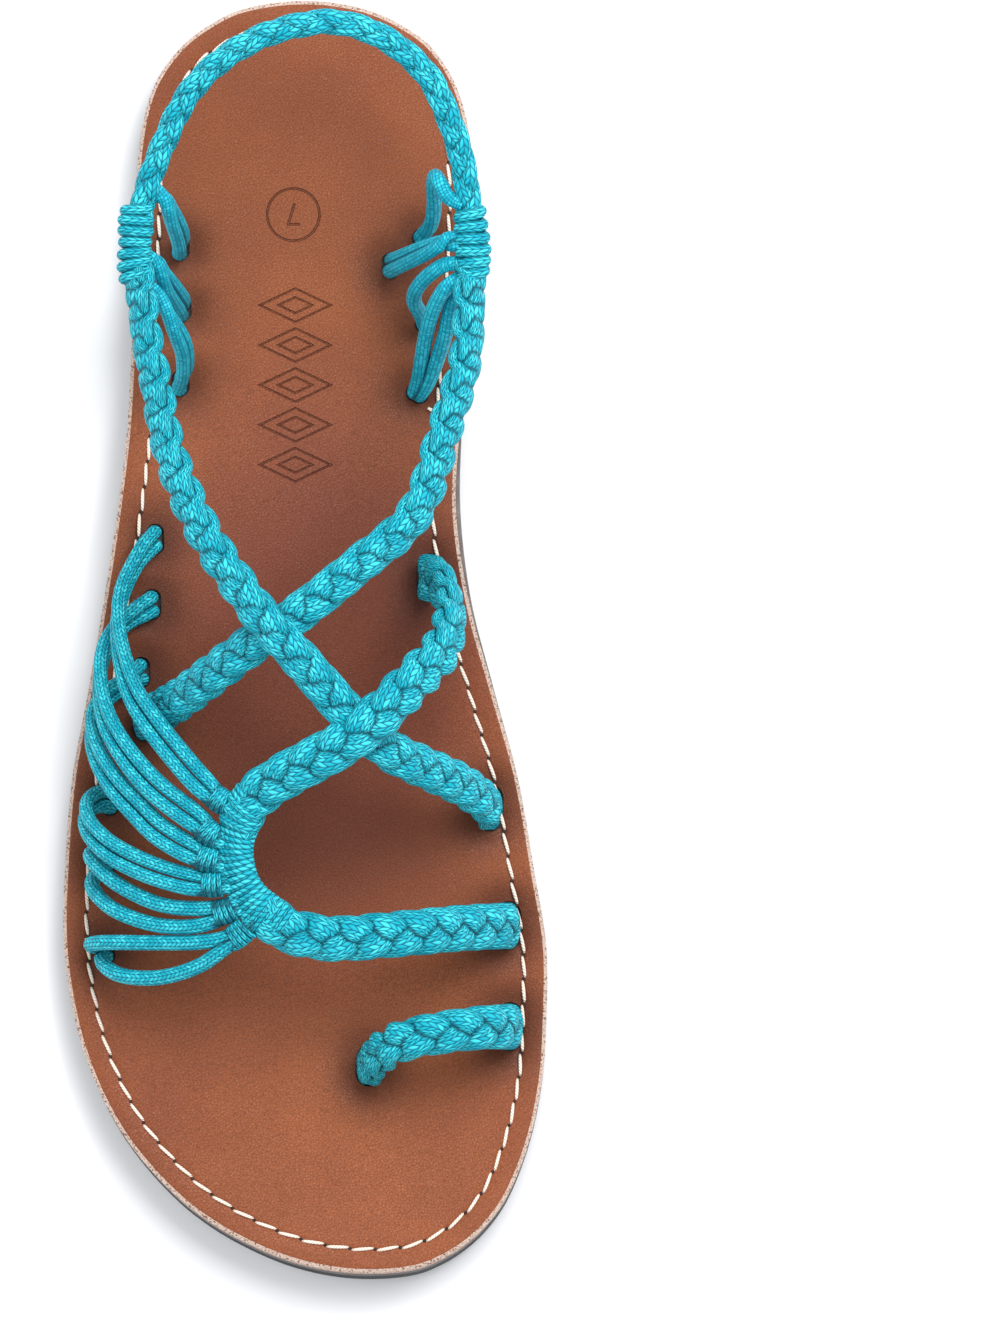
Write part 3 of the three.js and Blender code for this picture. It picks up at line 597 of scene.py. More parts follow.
def walk_route(rows: Rows, step: float, axis: tuple[float, float] | None, sewn: Sewn) -> Walk:
    """Even steps along the curve through a route.

    Args:
        rows: the route's table of shares.
        step: length of one step.
        axis: the line along the foot that the strap faces away from, or none to face up.
        sewn: which ends go down to the midsole.

    Returns:
        The walk along the route.
    """
    table = np.array(rows, float)
    y = table[:, 1] * SOLE_LENGTH
    z = PLAN.top_at(y) + table[:, 2] * INSTEP_HEIGHT
    dense = smooth_curve(np.stack([table[:, 0] * BALL_WIDTH, y, z], axis=1))
    start, end = sewn.value
    if start:
        dense = np.vstack([sink(dense[0]), dense])
    if end:
        dense = np.vstack([dense, sink(dense[-1])])
    gone = np.concatenate([[0], np.cumsum(np.linalg.norm(np.diff(dense, axis=0), axis=1))])
    count = max(4, round(gone[-1] / step))
    distance = np.linspace(0, gone[-1], count + 1)
    point = np.stack([np.interp(distance, gone, dense[:, k]) for k in range(3)], axis=1)
    along = unit(np.gradient(point, axis=0))
    out = np.tile([0.0, 0.0, 1.0], (len(point), 1))
    if axis is not None:
        middle = PLAN.top_at(point[:, 1]) + axis[1] * INSTEP_HEIGHT
        away = point[:, 0] - axis[0] * BALL_WIDTH
        out = np.stack([away, np.zeros(len(point)), point[:, 2] - middle], axis=1)
    out = unit(out - along * np.sum(out * along, axis=1, keepdims=True))
    return Walk(point, along, np.cross(out, along), out, distance)


def sink(point: np.ndarray) -> np.ndarray:
    """The place straight below a strap's end, just over the midsole."""
    low = PLAN.underside(point[1]) + INSOLE_BASE + CORD_END_GAP
    return np.array([point[0], point[1], low])


class MeshMaker:
    """Collects tubes into one mesh, with a map that counts yarn rows round and millimetres along, and
    painted shade for the seams between tubes.
    """

    def __init__(self) -> None:
        """Starts with no tubes."""
        self.points: list[np.ndarray] = []
        self.faces: list[list[tuple[int, ...]]] = []
        self.maps: list[tuple[float, float]] = []
        self.flank_shades: list[np.ndarray] = []

    def tube(
        self,
        centre: np.ndarray,
        side: np.ndarray,
        out: np.ndarray,
        half_width: np.ndarray | float,
        half_thickness: np.ndarray | float,
        sides: int,
        rows: int,
        flatness: float = 1.0,
        flank_shade: float = 0.0,
        map_scale: float = 1.0,
    ) -> None:
        """Adds a tube with an oval section.

        Args:
            centre: points along the middle.
            side: direction of the section's width at each point.
            out: direction of the section's thickness at each point.
            half_width: half the width, at each point or everywhere.
            half_thickness: half the thickness, at each point or everywhere.
            sides: number of faces round.
            rows: number of yarn rows round, for the map.
            flatness: power of the section's curve, under 1 for flatter faces.
            flank_shade: how much painted shade the two edges of the section get, from 0 to 1.
            map_scale: how much shorter the yarns are than usual.
        """
        turns = np.arange(sides) * 2 * math.pi / sides
        cos = np.sign(np.cos(turns)) * np.abs(np.cos(turns)) ** flatness
        sin = np.sign(np.sin(turns)) * np.abs(np.sin(turns)) ** flatness
        rings = len(centre)
        width = np.broadcast_to(np.asarray(half_width, float), rings)[:, None, None]
        thick = np.broadcast_to(np.asarray(half_thickness, float), rings)[:, None, None]
        across = side[:, None, :] * (cos[None, :, None] * width)
        rise = out[:, None, :] * (sin[None, :, None] * thick)
        self.points.append((centre[:, None, :] + across + rise).reshape(-1, 3))
        # Painted shade: the two edges of the section are darkened.
        edge = ease((np.abs(np.cos(turns)) - FLANK_SHADE_START) / (1 - FLANK_SHADE_START))
        self.flank_shades.append(np.tile(flank_shade * edge, rings))
        steps = np.linalg.norm(np.diff(centre, axis=0), axis=1)
        gone = np.concatenate([[0], np.cumsum(steps)]) / MM * map_scale
        faces = []
        for r in range(rings - 1):
            low, high = r * sides, (r + 1) * sides
            for s in range(sides):
                t = (s + 1) % sides
                faces.append((low + s, high + s, high + t, low + t))
                u0, u1 = s * rows / sides, (s + 1) * rows / sides
                self.maps.extend(((u0, gone[r]), (u0, gone[r + 1]), (u1, gone[r + 1]), (u1, gone[r])))
        last = (rings - 1) * sides
        for start, order, v in ((0, range(sides), gone[0]), (last, reversed(range(sides)), gone[-1])):
            faces.append(tuple(start + s for s in order))
            self.maps.extend((s * rows / sides, v) for s in range(sides))
        self.faces.append(faces)

    def seam_shading(self, reach: float) -> np.ndarray:
        """How much painted seam shade each vertex gets, from 0 to 1: near other tubes and on the shaded
        flanks of its own section.

        Args:
            reach: distance to the next tube at which the painted seam shade ends.

        Returns:
            One value for each vertex.
        """
        trees = [BVHTree.FromPolygons(p.tolist(), f) for p, f in zip(self.points, self.faces)]
        found = []
        for index, (points, flank_shade) in enumerate(zip(self.points, self.flank_shades)):
            others = [tree for number, tree in enumerate(trees) if number != index]
            depth = flank_shade.copy()
            for number, point in enumerate(points.tolist()):
                for tree in others:
                    gap = tree.find_nearest(point, reach)[3]
                    if gap is not None:
                        depth[number] = max(depth[number], 1 - gap / reach)
            found.append(depth)
        return np.concatenate(found)

    def build(self, name: str, material: bpy.types.Material, seam: float = SEAM_SHADE) -> bpy.types.Object:
        """Makes the object.

        Args:
            name: its name.
            material: its finish.
            seam: half the width of the painted shade in the seams between its tubes.

        Returns:
            The smooth shaded object.
        """
        faces = []
        count = 0
        for points, part in zip(self.points, self.faces):
            faces.extend(tuple(count + corner for corner in face) for face in part)
            count += len(points)
        mesh = bpy.data.meshes.new(name)
        mesh.from_pydata(np.vstack(self.points).tolist(), [], faces)
        layer = mesh.uv_layers.new(name="yarn")
        layer.data.foreach_set("uv", np.array(self.maps, np.float32).ravel())
        # Painted shade for the seams between tubes and for the flanks of each section.
        painted_shade = mesh.attributes.new("painted_shade", "FLOAT", "POINT")
        painted_shade.data.foreach_set("value", self.seam_shading(seam).astype(np.float32))
        mesh.shade_smooth()
        mesh.materials.append(material)
        made = bpy.data.objects.new(name, mesh)
        bpy.context.scene.collection.objects.link(made)
        outward_faces(made)
        return made


def only(piece: bpy.types.Object) -> None:
    """Makes a piece the only selected and the active one.

    Args:
        piece: the piece.
    """
    bpy.ops.object.select_all(action="DESELECT")
    piece.select_set(True)
    bpy.context.view_layer.objects.active = piece


def outward_faces(piece: bpy.types.Object) -> None:
    """Turns the faces of a closed piece outwards.

    Args:
        piece: the piece.
    """
    only(piece)
    bpy.ops.object.mode_set(mode="EDIT")
    bpy.ops.mesh.select_all(action="SELECT")
    bpy.ops.mesh.normals_make_consistent(inside=False)
    bpy.ops.object.mode_set(mode="OBJECT")
    bpy.ops.object.select_all(action="DESELECT")


class Nodes:
    """Short calls for the nodes of one material."""

    def __init__(self, name: str) -> None:
        """Args:
            name: the material's name.
        """
        self.material = bpy.data.materials.new(name)
        self.material.use_nodes = True
        self.tree = self.material.node_tree
        self.shader = self.tree.nodes["Principled BSDF"]

    def add(self, kind: str, **options: object) -> bpy.types.Node:
        """A new node.

        Args:
            kind: its type.
            options: its options by name.

        Returns:
            The node.
        """
        node = self.tree.nodes.new(kind)
        for key, value in options.items():
            setattr(node, key, value)
        return node

    def put(self, socket: bpy.types.NodeSocket, value: object) -> None:
        """Links an output to a socket, or sets the socket.

        Args:
            socket: the socket.
            value: an output, a number or a colour.
        """
        if isinstance(value, bpy.types.NodeSocket):
            self.tree.links.new(value, socket)
        else:
            socket.default_value = value

    def math(self, operation: str, *values: object) -> bpy.types.NodeSocket:
        """The result of a Math node.

        Args:
            operation: what it works out.
            values: outputs or numbers, in order.

        Returns:
            Its output.
        """
        node = self.add("ShaderNodeMath", operation=operation)
        for socket, value in zip(node.inputs, values):
            self.put(socket, value)
        return node.outputs[0]

    def mix(self, share: object, first: object, second: object) -> bpy.types.NodeSocket:
        """A mix of two colours.

        Args:
            share: how much of the second one there is.
            first: the first colour.
            second: the second colour.

        Returns:
            The mixed colour.
        """
        node = self.add("ShaderNodeMix", data_type="RGBA")
        for index, value in ((0, share), (6, first), (7, second)):
            self.put(node.inputs[index], value)
        return node.outputs[2]

    def span(self, value: object, low: float, high: float, start: float = 0.0, end: float = 1.0) -> object:
        """A value mapped smoothly from one range to another.

        Args:
            value: the value.
            low: where the first range starts.
            high: where it ends.
            start: the result at low and under it.
            end: the result at high and over it.

        Returns:
            The mapped value.
        """
        node = self.add("ShaderNodeMapRange", interpolation_type="SMOOTHSTEP")
        for index, item in enumerate((value, low, high, start, end)):
            self.put(node.inputs[index], item)
        return node.outputs[0]

    def noise(self, place: object, scale: float, detail: float = 2.0) -> bpy.types.NodeSocket:
        """Soft noise.

        Args:
            place: where it is read.
            scale: its scale for each unit of the place.
            detail: how many finer layers it has.

        Returns:
            A value from 0 to 1.
        """
        node = self.add("ShaderNodeTexNoise")
        self.put(node.inputs["Vector"], place)
        node.inputs["Scale"].default_value = scale
        node.inputs["Detail"].default_value = detail
        return node.outputs["Fac"]

    def millimetres(self) -> bpy.types.NodeSocket:
        """The place on the piece in millimetres.

        Returns:
            The place as a vector.
        """
        place = self.add("ShaderNodeTexCoord").outputs["Object"]
        node = self.add("ShaderNodeVectorMath", operation="SCALE")
        self.put(node.inputs[0], place)
        node.inputs["Scale"].default_value = 1 / MM
        return node.outputs[0]

    def parts(self, vector: object) -> tuple[object, object, object]:
        """The three parts of a vector.

        Args:
            vector: the vector.

        Returns:
            Its x, y and z.
        """
        node = self.add("ShaderNodeSeparateXYZ")
        self.put(node.inputs[0], vector)
        return node.outputs[0], node.outputs[1], node.outputs[2]

    def bump(self, height: object, depth: float, under: object = None) -> bpy.types.NodeSocket:
        """A bump.

        Args:
            height: the height, from 0 to 1.
            depth: what a height of 1 is, in metres.
            under: the normal of a bump that this one lies on.

        Returns:
            The normal.
        """
        node = self.add("ShaderNodeBump")
        node.inputs["Distance"].default_value = depth
        self.put(node.inputs["Height"], height)
        if under is not None:
            self.put(node.inputs["Normal"], under)
        return node.outputs[0]

    def finish(self, **sockets: object) -> bpy.types.Material:
        """Sets the shader's sockets.

        Args:
            sockets: values by the sockets' names, with underscores for spaces.

        Returns:
            The finished material.
        """
        for key, value in sockets.items():
            self.put(self.shader.inputs[key.replace("_", " ")], value)
        return self.material


Colour = tuple[float, float, float, float]


def shade(red: int, green: int, blue: int) -> Colour:
    """A linear colour from its screen values.

    Args:
        red: red, from 0 to 255.
        green: green, from 0 to 255.
        blue: blue, from 0 to 255.

    Returns:
        The colour with an alpha of 1.
    """
    channels = []
    for value in (red / 255, green / 255, blue / 255):
        channels.append(value / 12.92 if value < 0.04045 else ((value + 0.055) / 1.055) ** 2.4)
    return (*channels, 1.0)


@dataclass(frozen=True)
class BraidedCordFinish:
    """Satin nylon cord with a herringbone of short yarns, with painted highlights on the yarns and painted
    shade in their grooves, in the seams and on the flanks.
    """

    name: str = "teal cord"
    bright: Colour = shade(68, 224, 238)
    middle: Colour = shade(2, 172, 194)
    groove_shade: Colour = shade(0, 108, 132)
    seam: Colour = shade(0, 62, 80)
    stitch: float = 1.25
    slant: float = 0.8
    seam_shade_share: float = 0.9
    relief: float = 0.2 * MM
    jitter: float = 0.35
    gloss: float = 0.25
    roughness: float = 0.6

    def make(self) -> bpy.types.Material:
        """Builds the material on the yarn map.

        Returns:
            The material.
        """
        n = Nodes(self.name)
        u, v, _ = n.parts(n.add("ShaderNodeUVMap", uv_map="yarn").outputs[0])
        row = n.math("FLOOR", u)
        part = n.math("FRACT", u)
        sign = n.math("SUBTRACT", 1.0, n.math("MULTIPLY", n.math("FLOORED_MODULO", row, 2.0), 2.0))
        lean = n.math("MULTIPLY", n.math("MULTIPLY", n.math("SUBTRACT", part, 0.5), sign), self.slant)
        offset = n.add("ShaderNodeTexWhiteNoise", noise_dimensions="1D")
        n.put(offset.inputs["W"], row)
        shift = n.math("MULTIPLY", offset.outputs["Value"], self.jitter)
        phase = n.math("ADD", n.math("ADD", n.math("DIVIDE", v, self.stitch), lean), shift)
        tick = n.math("SINE", n.math("MULTIPLY", n.math("FRACT", phase), math.pi))
        rib = n.math("SINE", n.math("MULTIPLY", part, math.pi))
        height = n.math("MULTIPLY", n.math("POWER", tick, 0.5), n.math("POWER", rib, 0.5))
        cell = n.add("ShaderNodeCombineXYZ")
        n.put(cell.inputs[0], row)
        n.put(cell.inputs[1], n.math("FLOOR", phase))
        chance = n.add("ShaderNodeTexWhiteNoise", noise_dimensions="2D")
        n.put(chance.inputs["Vector"], cell.outputs[0])
        patch = n.math("MULTIPLY", n.noise(n.millimetres(), 0.22), 0.7)
        tone = n.math("ADD", n.math("MULTIPLY", chance.outputs["Value"], 0.6), patch)
        # Painted highlight: the highlight colour is scattered at random over the yarn ticks.
        light = n.mix(n.span(tone, 0.35, 1.05), self.middle, self.bright)
        # Painted shade: the grooves between the yarn ticks darken to the groove shade colour.
        colour = n.mix(n.span(height, 0.15, 0.8), self.groove_shade, light)
        # Painted shade in the seams between strands and on the flanks of each section.
        painted_shade = n.add("ShaderNodeAttribute", attribute_name="painted_shade").outputs["Fac"]
        colour = n.mix(n.span(painted_shade, 0.25, 1.0, 0.0, self.seam_shade_share), colour, self.seam)
        normal = n.bump(height, self.relief)
        n.finish(Base_Color=colour, Roughness=self.roughness, Normal=normal)
        return n.finish(Specular_IOR_Level=self.gloss)


@dataclass(frozen=True)
class FootbedFinish:
    """Tan faux leather with a fine grain and pressed marks, painted shadow under the crossed braids and
    painted shade round the holes.
    """

    name: str = "tan leather"
    light: Colour = shade(162, 88, 47)
    middle: Colour = shade(139, 72, 39)
    shadow_and_wear: Colour = shade(118, 56, 38)
    dark: Colour = shade(70, 32, 22)
    ring_across: float = -2.2
    ring_along: float = 83.2
    ring_radius: float = 5.1
    shadow_across: float = 4.0
    shadow_along: float = -8.0
    shadow_width: float = 46.0
    shadow_length: float = 78.0
    line: float = 0.22
    lozenge_across: float = -1.8
    lozenge_start: float = 30.4
    lozenge_pitch: float = 7.8
    lozenge_count: int = 5
    lozenge_width: float = 16.5
    lozenge_outer: float = 0.42
    lozenge_inner: float = 0.2
    hole_shade_share: float = 0.6
    press_share: float = 0.5
    grain_relief: float = 0.09 * MM
    press_relief: float = 0.45 * MM
    gloss: float = 0.3

    def make(self) -> bpy.types.Material:
        """Builds the material on the piece's own place.

        Returns:
            The material.
        """
        n = Nodes(self.name)
        place = n.millimetres()
        broad = n.noise(place, 0.02, 3.0)
        cloud = n.noise(place, 0.07, 2.0)
        grain = n.noise(place, 2.6, 5.0)
        weave = n.add("ShaderNodeTexVoronoi", feature="DISTANCE_TO_EDGE")
        n.put(weave.inputs["Vector"], place)
        weave.inputs["Scale"].default_value = 1.7
        creases = n.span(weave.outputs["Distance"], 0.0, 0.16)
        x, y, _ = n.parts(place)
        tone = n.math("ADD", n.math("MULTIPLY", broad, 0.7), n.math("MULTIPLY", cloud, 0.3))
        base = n.mix(n.span(tone, 0.3, 0.7), self.middle, self.light)
        # Painted shadow: the leather darkens in a broad oval under the crossed braids.
        base = n.mix(self.strap_shadow(n, x, y), base, self.shadow_and_wear)
        # Painted shade round the holes where the cords go down.
        hole_shade = n.add("ShaderNodeAttribute", attribute_name="hole_shade").outputs["Fac"]
        base = n.mix(n.math("MULTIPLY", hole_shade, self.hole_shade_share), base, self.dark)
        speck = n.mix(n.span(grain, 0.35, 0.72, 0.0, 0.42), base, self.dark)
        pores = n.mix(n.span(creases, 0.0, 1.0, 0.16, 0.0), speck, self.dark)
        pressed = n.math("MAXIMUM", self.ring(n, x, y), self.numeral(n, x, y))
        pressed = n.math("MAXIMUM", pressed, self.lozenges(n, x, y))
        colour = n.mix(n.math("MULTIPLY", pressed, self.press_share), pores, self.dark)
        surface = n.math("ADD", n.math("MULTIPLY", grain, 0.5), n.math("MULTIPLY", creases, 0.5))
        skin = n.bump(surface, self.grain_relief)
        normal = n.bump(n.math("SUBTRACT", 1.0, pressed), self.press_relief, skin)
        rough = n.span(grain, 0.3, 0.7, 0.4, 0.55)
        n.finish(Base_Color=colour, Roughness=rough, Normal=normal)
        return n.finish(Specular_IOR_Level=self.gloss)

    @staticmethod
    def distance(n: Nodes, across: object, along: object) -> object:
        """The length of a step across and along."""
        square = n.math("ADD", n.math("MULTIPLY", across, across), n.math("MULTIPLY", along, along))
        return n.math("SQRT", square)


    def strap_shadow(self, n: Nodes, x: object, y: object) -> object:
        """Painted shadow of the crossed braids: the leather is darker in a broad oval under them.

        Args:
            n: the material's nodes.
            x: place across, in millimetres.
            y: place along.

        Returns:
            How dark it is, from 0 to 1.
        """
        dx = n.math("DIVIDE", n.math("SUBTRACT", x, self.shadow_across), self.shadow_width)
        dy = n.math("DIVIDE", n.math("SUBTRACT", y, self.shadow_along), self.shadow_length)
        return n.span(self.distance(n, dx, dy), 0.35, 1.0, 0.8, 0.0)

    def stroke(self, n: Nodes, distance: object) -> object:
        """A pressed line from the distance to its middle."""
        return n.span(distance, self.line * 0.4, self.line * 1.3, 1.0, 0.0)

    def ring(self, n: Nodes, x: object, y: object) -> object:
        """The pressed ring at the heel.

        Args:
            n: the material's nodes.
            x: place across, in millimetres.
            y: place along.

        Returns:
            1 in the line and 0 off it.
        """
        dx = n.math("SUBTRACT", x, self.ring_across)
        dy = n.math("SUBTRACT", y, self.ring_along)
        past = n.math("SUBTRACT", self.distance(n, dx, dy), self.ring_radius)
        return self.stroke(n, n.math("ABSOLUTE", past))

    def numeral(self, n: Nodes, x: object, y: object) -> object:
        """The size numeral in the ring, a seven that is read from the toe end.

        Args:
            n: the material's nodes.
            x: place across, in millimetres.
            y: place along.

        Returns:
            1 in the lines and 0 off them.
        """
        bar = self.segment(n, x, y, (-1.0, -1.9), (1.1, -1.9))
        stem = self.segment(n, x, y, (-1.0, -1.9), (0.2, 2.0))
        return n.math("MAXIMUM", bar, stem)

    def segment(
        self, n: Nodes, x: object, y: object, start: tuple[float, float], end: tuple[float, float]
    ) -> object:
        """A pressed straight line.

        Args:
            n: the material's nodes.
            x: place across, in millimetres.
            y: place along.
            start: where it starts, from the ring's centre.
            end: where it ends, from the ring's centre.

        Returns:
            1 in the line and 0 off it.
        """
        across, along = end[0] - start[0], end[1] - start[1]
        dx = n.math("SUBTRACT", x, self.ring_across + start[0])
        dy = n.math("SUBTRACT", y, self.ring_along + start[1])
        reach = n.math("ADD", n.math("MULTIPLY", dx, across), n.math("MULTIPLY", dy, along))
        share = n.math("DIVIDE", reach, across**2 + along**2)
        share = n.math("MINIMUM", n.math("MAXIMUM", share, 0.0), 1.0)
        gap_x = n.math("SUBTRACT", dx, n.math("MULTIPLY", share, across))
        gap_y = n.math("SUBTRACT", dy, n.math("MULTIPLY", share, along))
        return self.stroke(n, self.distance(n, gap_x, gap_y))

    def lozenges(self, n: Nodes, x: object, y: object) -> object:
        """A plain row of pressed lozenges down the middle of the footbed.

        Args:
            n: the material's nodes.
            x: place across, in millimetres.
            y: place along.

        Returns:
            1 in the lines and 0 off them.
        """
        low = self.lozenge_start
        high = low + self.lozenge_pitch * self.lozenge_count
        cell = n.math("DIVIDE", n.math("SUBTRACT", y, low), self.lozenge_pitch)
        dy = n.math("ABSOLUTE", n.math("SUBTRACT", n.math("FRACT", cell), 0.5))
        dx = n.math("ABSOLUTE", n.math("SUBTRACT", x, self.lozenge_across))
        size = n.math("ADD", n.math("DIVIDE", dx, self.lozenge_width), dy)
        outline = n.math("ABSOLUTE", n.math("SUBTRACT", size, self.lozenge_outer))
        inner = n.math("ABSOLUTE", n.math("SUBTRACT", size, self.lozenge_inner))
        nearest = n.math("MULTIPLY", n.math("MINIMUM", outline, inner), self.lozenge_pitch)
        inside = n.math("MULTIPLY", n.math("GREATER_THAN", y, low), n.math("LESS_THAN", y, high))
        dots = n.span(n.math("ABSOLUTE", n.math("SINE", n.math("MULTIPLY", x, 3.3))), 0.05, 0.5, 0.35, 1.0)
        return n.math("MULTIPLY", n.math("MULTIPLY", self.stroke(n, nearest), inside), dots)


@dataclass(frozen=True)
class RawEdgeFinish:
    """The cream cut edge of the footbed, rough with fibres and dark specks."""

    name: str = "raw cream edge"
    cream: Colour = shade(232, 206, 190)
    brown: Colour = shade(122, 78, 60)

    def make(self) -> bpy.types.Material:
        """Builds the material.

        Returns:
            The material.
        """
        n = Nodes(self.name)
        place = n.millimetres()
        fibre = n.noise(place, 3.6, 5.0)
        speck = n.noise(place, 2.2, 3.0)
        colour = n.mix(n.span(speck, 0.5, 0.68), self.cream, self.brown)
        colour = n.mix(n.span(fibre, 0.35, 0.65, 0.0, 0.35), colour, self.brown)
        return n.finish(Base_Color=colour, Roughness=0.95, Normal=n.bump(fibre, 0.5 * MM))


@dataclass(frozen=True)
class PlainGrainFinish:
    """A matt moulded layer with a fine grain."""

    name: str
    base: Colour
    shadow_and_wear: Colour
    roughness: float
    grain: float
    relief: float

    def make(self) -> bpy.types.Material:
        """Builds the material.

        Returns:
            The material.
        """
        n = Nodes(self.name)
        place = n.millimetres()
        fine = n.noise(place, self.grain, 4.0)
        broad = n.noise(place, 0.15, 3.0)
        colour = n.mix(n.span(broad, 0.4, 0.7), self.base, self.shadow_and_wear)
        colour = n.mix(n.span(fine, 0.3, 0.7, 0.0, 0.5), colour, self.base)
        rough = n.span(fine, 0.3, 0.7, self.roughness - 0.08, self.roughness + 0.05)
        return n.finish(Base_Color=colour, Roughness=rough, Normal=n.bump(fine, self.relief))


@dataclass(frozen=True)
class ThreadFinish:
    """Cream waxed thread of twisted plies."""

    name: str = "cream thread"
    cream: Colour = shade(255, 240, 224)
    grey: Colour = shade(206, 180, 158)

    def make(self) -> bpy.types.Material:
        """Builds the material on the yarn map.

        Returns:
            The material.
        """
        n = Nodes(self.name)
        u, v, _ = n.parts(n.add("ShaderNodeUVMap", uv_map="yarn").outputs[0])
        twist = n.math("SINE", n.math("MULTIPLY", n.math("ADD", u, n.math("MULTIPLY", v, 1.6)), math.pi))
        height = n.math("ABSOLUTE", twist)
        colour = n.mix(n.span(height, 0.0, 0.5), self.grey, self.cream)
        return n.finish(Base_Color=colour, Roughness=0.6, Normal=n.bump(height, 0.12 * MM))


@dataclass(frozen=True)
class FloorFinish:
    """Plain pale floor."""

    name: str = "pale floor"
    white: Colour = shade(250, 250, 252)

    def make(self) -> bpy.types.Material:
        """Builds the material.

        Returns:
            The material.
        """
        n = Nodes(self.name)
        return n.finish(Base_Color=self.white, Roughness=0.9, Specular_IOR_Level=0.2)


@dataclass
class Finishes:
    """Every finish of the sandal, made once."""

    cord: bpy.types.Material
    ribbed_cord: bpy.types.Material
    leather: bpy.types.Material
    raw_edge: bpy.types.Material
    hole_shadow: bpy.types.Material
    foam: bpy.types.Material
    rubber: bpy.types.Material
    thread: bpy.types.Material


def make_finishes() -> Finishes:
    """Builds the materials.

    Returns:
        Every finish.
    """
    # Painted shade: the hole walls and the stitch holes take this dark finish because shade falls in them.
    dark = PlainGrainFinish("hole shadow", shade(52, 30, 24), shade(74, 44, 34), 0.9, 2.0, 0.2 * MM)
    foam = PlainGrainFinish("grey foam", shade(112, 106, 104), shade(138, 132, 128), 0.92, 3.5, 0.15 * MM)
    rubber = PlainGrainFinish("black rubber", shade(16, 17, 21), shade(30, 32, 38), 0.75, 2.2, 0.12 * MM)
    ribbed = BraidedCordFinish(
        name="ribbed teal cord",
        bright=shade(52, 214, 234),
        middle=shade(0, 164, 188),
        groove_shade=shade(0, 118, 146),
        stitch=0.66,
        slant=0.12,
        relief=0.1 * MM,
    )
    return Finishes(
        cord=BraidedCordFinish().make(),
        ribbed_cord=ribbed.make(),
        leather=FootbedFinish().make(),
        raw_edge=RawEdgeFinish().make(),
        hole_shadow=dark.make(),
        foam=foam.make(),
        rubber=rubber.make(),
        thread=ThreadFinish().make(),
    )


@dataclass
class Slot:
    """A hole in the footbed where a strap goes down."""

    across: float
    along: float
    reach: float
    radius: float
    direction: tuple[float, float]


@dataclass
class Piece:
    """A finished object and what it stands for."""

    made: bpy.types.Object
    slot: str
    nodes: tuple[str, ...] = ()


@dataclass
class Strap:
    """A strap of the upper: its route and how it is sewn in."""

    rows: Rows
    axis: tuple[float, float] | None
    sewn: Sewn = Sewn.NONE
    step: float = 0.55 * MM
    seam: float = SEAM_SHADE

    def walk(self) -> Walk:
        """Steps along the strap."""
        return walk_route(self.rows, self.step, self.axis, self.sewn)

    def slots(self, widths: tuple[float, float], thickness: float) -> list[Slot]:
        """The holes that the sewn ends need.

        Args:
            widths: width of the strap at its start and at its end.
            thickness: thickness of the strap there.

        Returns:
            One slot for each sewn end.
        """
        walk = self.walk()
        found = []
        for is_sewn, end, width in zip(self.sewn.value, (0, -1), widths):
            if is_sewn:
                side = unit(walk.side[end][:2])
                radius = thickness / 2
                reach = max(0.0, width / 2 - radius)
                x, y = walk.point[end][:2]
                found.append(Slot(x, y, reach, radius, (side[0], side[1])))
        return found


@dataclass
class Braid(Strap):
    """A flat braid of three strands that pass over and under each other.

    Shares are of the braid's width or thickness. plateau and turn_back square off the waves of the
    height and of the sway, neck_turn does so at the start, and tilt leans a strand at the edge.
    """

    step: float = 0.42 * MM
    start_width: float = FRONT_BRAID_WIDTH
    end_width: float = FRONT_BRAID_WIDTH
    thickness: float = FRONT_BRAID_THICKNESS
    lobe: float = BRAID_LOBE
    inward: float = 1.0
    strand_share: float = 0.29
    neck_share: float = 0.29
    lift_share: float = 0.23
    plateau: float = 1.4
    turn_back: float = 1.1
    neck_turn: float = 1.1
    tilt: float = 0.3
    sides: int = 22
    rows_round: int = 22
    flatness: float = 0.8
    tuck: float = 0.95

    def add_to(self, maker: MeshMaker) -> None:
        """Adds the three strands to a mesh.

        Args:
            maker: the mesh.
        """
        walk = self.walk()
        share = walk.distance / walk.length
        width = self.start_width + (self.end_width - self.start_width) * share
        lift = self.lift_share * self.thickness
        half_thick = self.thickness / 2 - lift
        for strand in range(3):
            phase = 2 * math.pi * (walk.distance / (3 * self.lobe) + strand / 3)
            bend = self.turn_back + (self.neck_turn - self.turn_back) * (1 - share) ** 2
            sway = np.tanh(bend * np.sin(phase)) / np.tanh(bend)
            over = np.tanh(self.plateau * np.sin(2 * phase)) / math.tanh(self.plateau)
            narrow = (self.neck_share - self.strand_share) * (1 - share) ** 2
            half_width = (self.strand_share + narrow) * width
            swing = width / 2 - half_width * self.tuck
            across = (swing * sway)[:, None]
            up = (-self.inward * lift * over)[:, None]
            centre = walk.point + walk.side * across + walk.out * up
            along = unit(np.gradient(centre, axis=0))
            turn = self.tilt * sway * np.abs(sway)
            face = walk.out * np.cos(turn)[:, None] + walk.side * np.sin(turn)[:, None]
            side = unit(np.cross(face, along))
            out = np.cross(along, side)
            maker.tube(
                centre,
                side,
                out,
                half_width,
                half_thick,
                self.sides,
                self.rows_round,
                flatness=self.flatness,
            )


